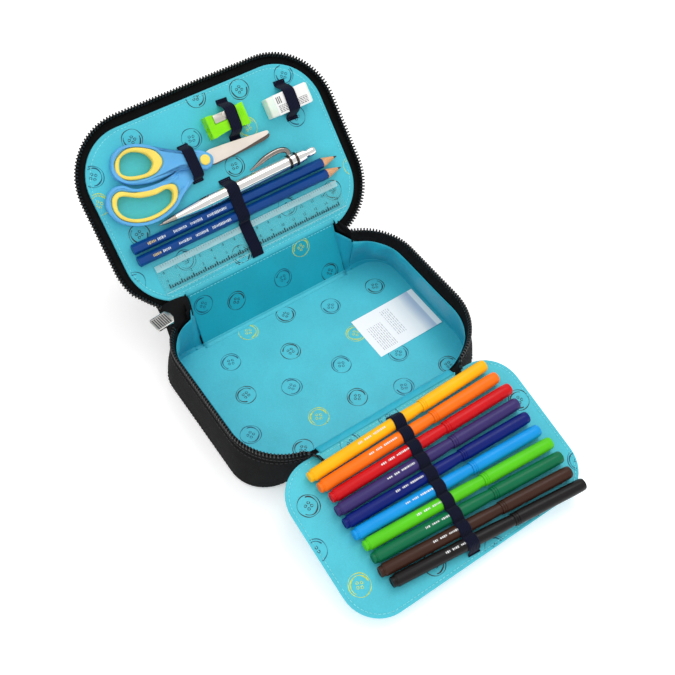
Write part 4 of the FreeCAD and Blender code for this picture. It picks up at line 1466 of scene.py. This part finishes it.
def pencils():
    """Two sharpened hexagonal pencils with plain printed bars."""
    lacquer = plastic("pencil_lacquer", (0, 62, 132), 0.35, 0.0, 0.1, grain=0.8, Specular_IOR_Level=0.3)
    wood = Surface("cedar", (214, 158, 112), 0.7)
    wood.tint(wood.noise(1.2, 4, (0.12, 1, 1)), 0.18)
    wood.bump(wood.noise(0.8, 3, (0.12, 1, 1)), 0.4, 0.05)
    lead = plastic("pencil_lead", (44, 46, 50), 0.35, 0.0, 0.15)
    pale = ink("pencil_print", (206, 214, 224))
    gold = ink("pencil_print_gold", (206, 184, 120))
    hexagon = [(math.radians(60 * k + d), f) for k in range(6) for d, f in ((-5, 0.965), (0, 0.985),
                                                                            (5, 0.965))]
    rods, cones, leads, quads, golden = [], [], [], [], []
    w = REST_W + 3.62
    u0, u1 = PENCIL_ENDS
    for v0, v1 in PENCIL_LINES:
        slope = (v1 - v0) / (u1 - u0)
        a, b = (u0, v0, w), (u1, v1, w)
        length = math.dist(a, b)
        rods.append(lathe(a, b, [(0, PENCIL_R * 0.9), (0.5, PENCIL_R), (length - 0.4, PENCIL_R),
                                 (length, PENCIL_R * 0.985)], section=hexagon))
        scallop = [(length + 0.02, PENCIL_R * 0.9), (length + 1.2, 3.55), (length + 10.6, 1.1)]
        cones.append(lathe(a, b, scallop, 30))
        leads.append(lathe(a, b, [(length + 10.5, 1.08), (length + 12.8, 0.5), (length + 13.7, 0.22)], 16))
        top = w + PENCIL_R * 0.866 + 0.05
        for first, last, target in ((-77, -71, golden), (-69, -63, quads), (-56, -46, quads),
                                    (-42, -32, quads), (-28, -12, quads)):
            u = first
            while u < last:
                wide = rng.uniform(0.35, 0.9)
                v = v0 + slope * (u - u0)
                tall = rng.uniform(0.7, 1.1)
                target.append(patch(u, u + wide, v - tall, v + tall, top))
                u += wide + 0.45
    points, faces = joined(rods)
    add("pencil_shafts", points, faces, "lid", lacquer, on_lid, slot="pencil_blue",
        instead_of=["pencil_rods"], crease=22)
    points, faces = joined(cones)
    add("pencil_wood", points, faces, "lid", wood.material, on_lid, slot="cedar", instead_of=["pencil_cones"])
    points, faces = joined(leads)
    add("pencil_tips", points, faces, "lid", lead, on_lid, slot="graphite", instead_of=["pencil_leads"])
    marks("pencil_marks", quads, "lid", pale, on_lid, "pencil_blue")
    marks("pencil_marks_gold", golden, "lid", gold, on_lid, "pencil_blue")


# ---- ballpoint ----
PEN_TIP = (-63.0, 68.2, 1.95)
PEN_END = (73.0, 70.6, 1.95)


def pen():
    """A chrome ballpoint: barrel, tip, rings, collar, push button and a bowed clip with a dark edge."""
    bright = metal("pen_chrome", (240, 238, 236), 0.1, (0.2, 1, 1), 0.03, 6)
    grey = metal("pen_tip_metal", (176, 166, 156), 0.25, (1, 0.2, 0.2), 0.08, 2)
    dark = metal("pen_dark", (70, 62, 58), 0.2, (1, 1, 1), 0.1, 3)
    barrel = [(13.5, 2.3), (14.2, 2.5), (24, 3.7), (34, 4.7), (40.6, 5.05), (41.0, 4.8), (41.4, 4.8),
              (41.8, 5.1), (70, 5.2), (100, 5.2), (110.6, 5.1), (111.0, 4.7), (112.0, 4.7)]
    points, faces = lathe(PEN_TIP, PEN_END, barrel, 40)
    add("pen_body", points, faces, "lid", bright, on_lid, slot="chrome", instead_of=["pen_barrel"], crease=25)
    tip = [(0, 0.35), (0.5, 0.5), (2.2, 0.62), (2.6, 1.15), (8, 1.8), (13.4, 2.45), (13.6, 2.3)]
    points, faces = lathe(PEN_TIP, PEN_END, tip, 28)
    add("pen_tip", points, faces, "lid", grey, on_lid, slot="chrome", crease=25)
    rings = [[(s, 4.7), (s + 0.2, 5.5), (s + 1.5, 5.5), (s + 1.7, 4.7)] for s in (111.4, 117.4)]
    collars = [[(113.0, 4.7), (113.4, 5.15), (117.0, 5.15), (117.6, 4.7)],
               [(119.0, 4.7), (119.6, 5.1), (123.5, 4.7), (126.2, 4.4), (126.6, 3.9)]]
    points, faces = joined([lathe(PEN_TIP, PEN_END, profile, 40) for profile in rings])
    add("pen_rings", points, faces, "lid", dark, on_lid, slot="chrome", crease=25)
    points, faces = joined([lathe(PEN_TIP, PEN_END, profile, 40) for profile in collars])
    add("pen_collar", points, faces, "lid", bright, on_lid, slot="chrome", crease=25)
    button_profile = [(120, 3.2), (127.0, 3.25), (127.4, 2.9), (128.4, 2.9), (128.8, 3.35), (131, 3.5),
                      (133.8, 3.5), (135.4, 2.9), (136.0, 1.8)]
    points, faces = lathe(PEN_TIP, PEN_END, button_profile, 34)
    add("pen_push_button", points, faces, "pen_button", bright, on_lid, slot="chrome",
        instead_of=["pen_button"], crease=30)
    clip_metal = metal("pen_clip_metal", (150, 142, 136), 0.18, (1, 0.2, 0.2), 0.04, 4)
    bow = [(51.6, 74.6, 2.4), (51.6, 77.6, 2.8), (49.4, 80.0, 3.0), (43.5, 81.3, 3.1), (33.5, 80.4, 3.0),
           (25.6, 78.4, 2.7), (18.0, 76.3, 2.3)]
    count, sides = 48, 14
    thin = np.repeat(1 - 0.62 * smoothstep((np.arange(count) - 30) / 17), sides)[:, None]
    for name, half, tall, lift, look in (("pen_clip_bow", 1.75, 0.95, 0.35, clip_metal),
                                         ("pen_clip_edge", 2.1, 0.7, 0.0, dark)):
        section = [(tall * math.sin(t), half * math.cos(t))
                   for t in np.linspace(0, 2 * math.pi, sides, endpoint=False)]
        line = smooth_path([(a, b, c + lift) for a, b, c in bow], count)
        points, faces = sweep(line, section, (0, 0, 1))
        centres = np.repeat(line, sides, 0)
        points = centres + (points - centres) * thin
        add(name, points, faces, "lid", look, on_lid, slot="chrome", instead_of=["pen_clip"])


# ---- loops of elastic ----
def loops():
    """The lid's elastic loops, each over the things it holds."""
    rest = REST_W + 0.35
    elastic("sharpener_band", 20.3, 9.2, [(100.6, rest), (104.4, rest), (106.6, 4.2), (109, 7.9), (117, 8.4),
                                          (124.4, 7.7), (127.2, 4.0), (129.6, rest), (133, rest)], "lid",
            on_lid, "loop_sharpener", -4)
    elastic("eraser_band", 69.2, 9.6, [(97.6, rest), (100.6, rest), (102.8, 4.0), (105.2, 8.3), (112, 8.7),
                                       (119.2, 8.2), (122.4, 4.2), (125.4, rest), (129, rest)], "lid", on_lid,
            "loop_eraser", -3)
    elastic("scissor_band", -20.9, 8.8, [(84.2, rest), (86.4, rest + 0.4), (88.2, 2.8), (90.4, 4.7),
                                         (100, 4.9), (108.2, 4.6), (110.2, 2.4), (111.8, rest + 0.4),
                                         (113.6, rest)], "lid", on_lid, "loop_scissors")
    elastic("pen_band", -2.1, 9.8, [(15.8, rest), (18.2, rest + 0.4), (21.4, -1.3), (32, -1.4), (43, -1.3),
                                    (45.4, 2.2), (49.8, 4.5), (54.8, 3.9), (59.6, 4.6), (64.4, 5.6),
                                    (69.2, 7.6), (73.2, 5.6), (75.4, 0.6), (76.8, rest + 0.2), (79.0, rest)],
            "lid", on_lid, "loop_pens", count=120)


# ---- felt pens ----
MARKER_LEN = 152.0
MARKER_CAP = 58.0
MARKER_R = 4.4
MARKER_AXIS = 5.0                            # height of a pen's axis over the flap
MARKER_SIDES = 32
# how far out on the flap the first pen lies, and the step from pen to pen, at the left and right ends
MARKER_LEFT = (12.4, 9.4)
MARKER_RIGHT = (7.8, 11.7)
MARKER_SHIFT = (-74, -72, -69, -71, -71, -70, -68, -68, -69, -66)
MARKER_INKS = [("yellow", (255, 186, 6)), ("orange", (248, 116, 14)), ("red", (206, 10, 20)),
               ("violet", (58, 46, 106)), ("dark_blue", (4, 26, 112)), ("light_blue", (12, 150, 226)),
               ("light_green", (88, 204, 20)), ("dark_green", (0, 106, 68)), ("brown", (60, 34, 24)),
               ("black", (22, 19, 19))]
BAND_U = -4.5


def marker_line(k):
    """The two ends of felt pen k, in the flap's own frame."""
    v0 = MARKER_LEFT[0] + MARKER_LEFT[1] * k
    v1 = MARKER_RIGHT[0] + MARKER_RIGHT[1] * k
    run = math.sqrt(MARKER_LEN ** 2 - (v1 - v0) ** 2)
    return (MARKER_SHIFT[k], -v0, MARKER_AXIS), (MARKER_SHIFT[k] + run, -v1, MARKER_AXIS)


def felt_pens():
    """Ten felt pens, each with a barrel, a nib under its cap, and a hollow cap with rings round its lip."""
    pale = ink("felt_pen_print", (232, 234, 236))
    joint = MARKER_LEN - MARKER_CAP
    quads = []
    for k, (name, colour) in enumerate(MARKER_INKS):
        look = plastic(f"felt_pen_{name}", colour, 0.32, 0.0, 0.05, grain=1.5, depth=0.012,
                       Specular_IOR_Level=0.22)
        a, b = marker_line(k)
        slot = f"marker_{name}"
        r = MARKER_R
        barrel = [(0.5, 2.2), (0.0, 2.7), (0.0, 3.3), (0.4, 3.65), (1.6, 3.7), (1.8, 3.45), (2.1, 3.45),
                  (2.3, 3.75), (3.0, 3.8), (3.2, 4.2), (3.8, r), (60, r), (joint - 16, r),
                  (joint - 9, r - 0.18), (joint - 4, r - 0.45), (joint - 0.7, r - 0.5), (joint - 0.6, 3.6)]
        points, faces = lathe(a, b, barrel, MARKER_SIDES)
        add(f"felt_pen_barrel_{k + 1:02d}", points, faces, "flap", look, on_flap, slot=slot,
            instead_of=[f"marker_barrel_{k + 1:02d}"], crease=28)
        nib = [(joint - 0.6, 3.5), (joint + 20, 3.4), (joint + 21, 2.4), (joint + 30, 1.5),
               (joint + 30.2, 0.9), (joint + 34, 0.5)]
        points, faces = lathe(a, b, nib, 24)
        add(f"felt_pen_nib_{k + 1:02d}", points, faces, "flap", look, on_flap, slot=slot, crease=28)
        ring = [(joint - 0.5, 3.6), (joint - 0.5, 4.35), (joint - 0.2, 4.6), (joint + 0.5, 4.6),
                (joint + 0.7, 4.25), (joint + 1.1, 4.25), (joint + 1.3, 4.62), (joint + 2.2, 4.62),
                (joint + 2.4, 4.3), (joint + 2.8, 4.3), (joint + 3.0, 4.66), (joint + 8, 4.7),
                (MARKER_LEN - 12, 4.6), (MARKER_LEN - 4, 4.5), (MARKER_LEN - 1.2, 4.3),
                (MARKER_LEN - 0.3, 3.9), (MARKER_LEN, 3.3), (MARKER_LEN - 0.1, 2.6), (MARKER_LEN - 1.0, 2.2)]
        hollow = [(MARKER_LEN - 14, 0.8), (joint + 38, 3.62), (joint - 0.4, 3.62)]
        # the cap is open towards the barrel, where a lip joins its outside to its bore
        outside, outside_faces = lathe(a, b, ring, MARKER_SIDES)
        inside, inside_faces = lathe(a, b, hollow, MARKER_SIDES)
        count = len(outside)
        lip = count + 2 * MARKER_SIDES
        faces = outside_faces[:-2] + [outside_faces[-1]] + [tuple(i + count for i in f)
                                                            for f in inside_faces[:-1]]
        for j in range(MARKER_SIDES):
            ahead = (j + 1) % MARKER_SIDES
            faces.append((lip + j, lip + ahead, ahead, j))
        add(f"felt_pen_cap_{k + 1:02d}", np.vstack([outside, inside]), faces, f"cap_{k + 1:02d}", look,
            on_flap, slot=slot, instead_of=[f"marker_cap_{k + 1:02d}"], crease=28)
        quads += marker_marks(np.array(a), np.array(b), joint)
    marks("felt_pen_marks", quads, "flap", pale, on_flap, "marker_black")


def marker_marks(a, b, joint):
    """A few plain pale bars along a barrel, where a maker prints words."""
    axis = (b - a) / np.linalg.norm(b - a)
    tilt = math.radians(8)
    radial = np.array((0, math.sin(tilt), math.cos(tilt)))
    side = np.cross(axis, radial)
    out = []
    s = 40.0                                 # distance along the barrel
    for last in (43.5, 50.0, 62.0):
        while s < last:
            wide, half = rng.uniform(0.5, 1.1), rng.uniform(0.5, 0.8)
            centre = a + axis * s + radial * (MARKER_R + 0.03)
            out.append([centre - side * half, centre + axis * wide - side * half,
                        centre + axis * wide + side * half, centre + side * half])
            s += wide + 0.5
        s += 1.6
    return out


def flap_band():
    """The elastic over the felt pens, drawn down between them."""
    route = [(-111.2, 0.4), (-109.8, 0.7)]
    spots = []
    for k in range(len(MARKER_INKS)):
        a, b = marker_line(k)
        spots.append(a[1] + (b[1] - a[1]) * (BAND_U - a[0]) / (b[0] - a[0]))
    top = MARKER_AXIS + MARKER_R + 0.5
    route.append((spots[-1] - 5.2, 5.2))
    for k in range(len(spots) - 1, -1, -1):
        v = spots[k]
        route += [(v - 2.6, top - 0.75), (v, top), (v + 2.6, top - 0.75)]
        if k:
            route.append(((v + spots[k - 1]) / 2, top - 3.0))
    route += [(spots[0] + 4.9, 5.4), (spots[0] + 5.6, 1.6), (spots[0] + 6.2, 0.5)]
    elastic("felt_pen_band", BAND_U + 0.8, 9.4, route, "flap", on_flap, "flap_elastic", -3.8, count=260,
            narrow=0.06)


# ---- zip slider ----
SLIDER = np.array((-77.5, 73.6, 42.5))
SLIDER_TUCK = (-3.0, 2.0, -3.0)              # moves the slider out, back and down, under its cover
TAG_PLACE = SLIDER + (-6.0, 1.4, 1.4)
TAG_LIFT = 5.0
GROOVES = 7
GROOVE_PITCH = 1.7


def raised(tag):
    """The pull turned a little outward, with its free end raised."""
    lift = TAG_LIFT - 0.03 * tag[:, 0]
    return spun(tag, 8) + lift[:, None] * (0, 0, 1) + TAG_PLACE


def slider():
    """The zip's slider with its bridge, and its grooved metal pull."""
    black = plastic("slider_plastic", (34, 34, 36), 0.3, 0.3)
    body, body_faces = block(-4.5, 4.5, -2.4, 2.4, -3.2, 1.4)
    body[:, 1] *= np.where(body[:, 0] < 0, 0.7, 1.0)
    rail = bevelled(block(-3.2, 3.0, -0.9, 0.9, 1.0, 2.6), 0.6)
    points, faces = joined([bevelled((body, body_faces), 1.0, segments=4), rail])
    add("zip_slider_body", spun(points, 25) + SLIDER + SLIDER_TUCK, faces, "slider", black,
        slot="black_plastic", instead_of=["zip_slider"])
    silver = metal("tag_metal", (186, 184, 180), 0.32, (1, 0.3, 1), 0.15, 1.6)
    outline = rounded([(-17.0, -6.2, 1.6), (-3.4, -6.2, 1.6), (-1.2, -2.0, 0.8), (-1.2, 2.0, 0.8),
                       (-3.4, 6.2, 1.6), (-17.0, 6.2, 1.6)], arc=6, run=3)
    starts = [-15.6 + GROOVE_PITCH * k for k in range(GROOVES)]
    grooves = [block(x, x + 0.7, -4.9, 4.9, 0.45, 2) for x in starts]
    points, faces = bevelled(prism(outline, -0.8, 0.8), 0.22, grooves, 2)
    add("zip_pull_tag", raised(points), faces, "tab", silver, slot="tag_metal", instead_of=["pull_tab"])
    # dark marks on the floors of the pull's grooves
    dark = ink("tag_groove_dark", (30, 30, 32))
    points, faces = joined([(np.array(patch(x + 0.05, x + 0.65, -4.8, 4.8, 0.5)), [(0, 1, 2, 3)])
                            for x in starts])
    add("zip_pull_grooves", raised(points), faces, "tab", dark, slot="tag_metal", fix=False)


sharpener()
eraser()
scissors()
ruler()
pencils()
pen()
loops()
felt_pens()
flap_band()
slider()


# ---- floor, light and camera ----
def studio():
    """A white floor, a white world and three soft lights."""
    bpy.ops.mesh.primitive_plane_add(size=6)
    floor = bpy.context.object
    floor.name = "studio_floor"
    s = Surface("studio_floor", (250, 250, 250), 0.9, Emission_Color=(1, 1, 1, 1), Emission_Strength=0.3)
    floor.data.materials.append(s.material)
    world = bpy.data.worlds.new("studio")
    bpy.context.scene.world = world
    world.use_nodes = True
    background = world.node_tree.nodes["Background"].inputs
    background["Color"].default_value = (1, 1, 1, 1)
    background["Strength"].default_value = 0.78
    for name, place, size, power in (("key", (0.75, 0.25, 1.7), 0.9, 8), ("fill", (-1.1, -0.9, 1.3), 1.4, 4),
                                     ("top", (-0.2, -0.2, 2.0), 1.4, 5)):
        light = bpy.data.lights.new(name, "AREA")
        light.size = size
        light.energy = power
        o = bpy.data.objects.new(name, light)
        o.location = place
        o.rotation_mode = "QUATERNION"
        o.rotation_quaternion = Vector(place).to_track_quat("Z", "Y")
        bpy.context.scene.collection.objects.link(o)


def camera():
    """The view from the front left, well above."""
    azimuth, elevation, roll = (math.radians(a) for a in (-35.13, 53.25, 0.65))
    data = bpy.data.cameras.new("camera")
    data.lens = 52.28
    data.shift_x, data.shift_y = -0.0033, -0.0045
    o = bpy.data.objects.new("camera", data)
    back = Vector((math.sin(azimuth) * math.cos(elevation), -math.cos(azimuth) * math.cos(elevation),
                   math.sin(elevation)))
    right = Vector((math.cos(azimuth), math.sin(azimuth), 0))
    up = back.cross(right)
    turned_right = right * math.cos(roll) + up * math.sin(roll)
    turned_up = up * math.cos(roll) - right * math.sin(roll)
    o.matrix_world = Matrix.Translation(Vector((-235.6, -352.0, 611.8)) * MM) @ Matrix(
        (turned_right, turned_up, back)).transposed().to_4x4()
    bpy.context.scene.collection.objects.link(o)
    bpy.context.scene.camera = o
    bpy.context.scene.view_settings.view_transform = "Standard"


studio()
camera()
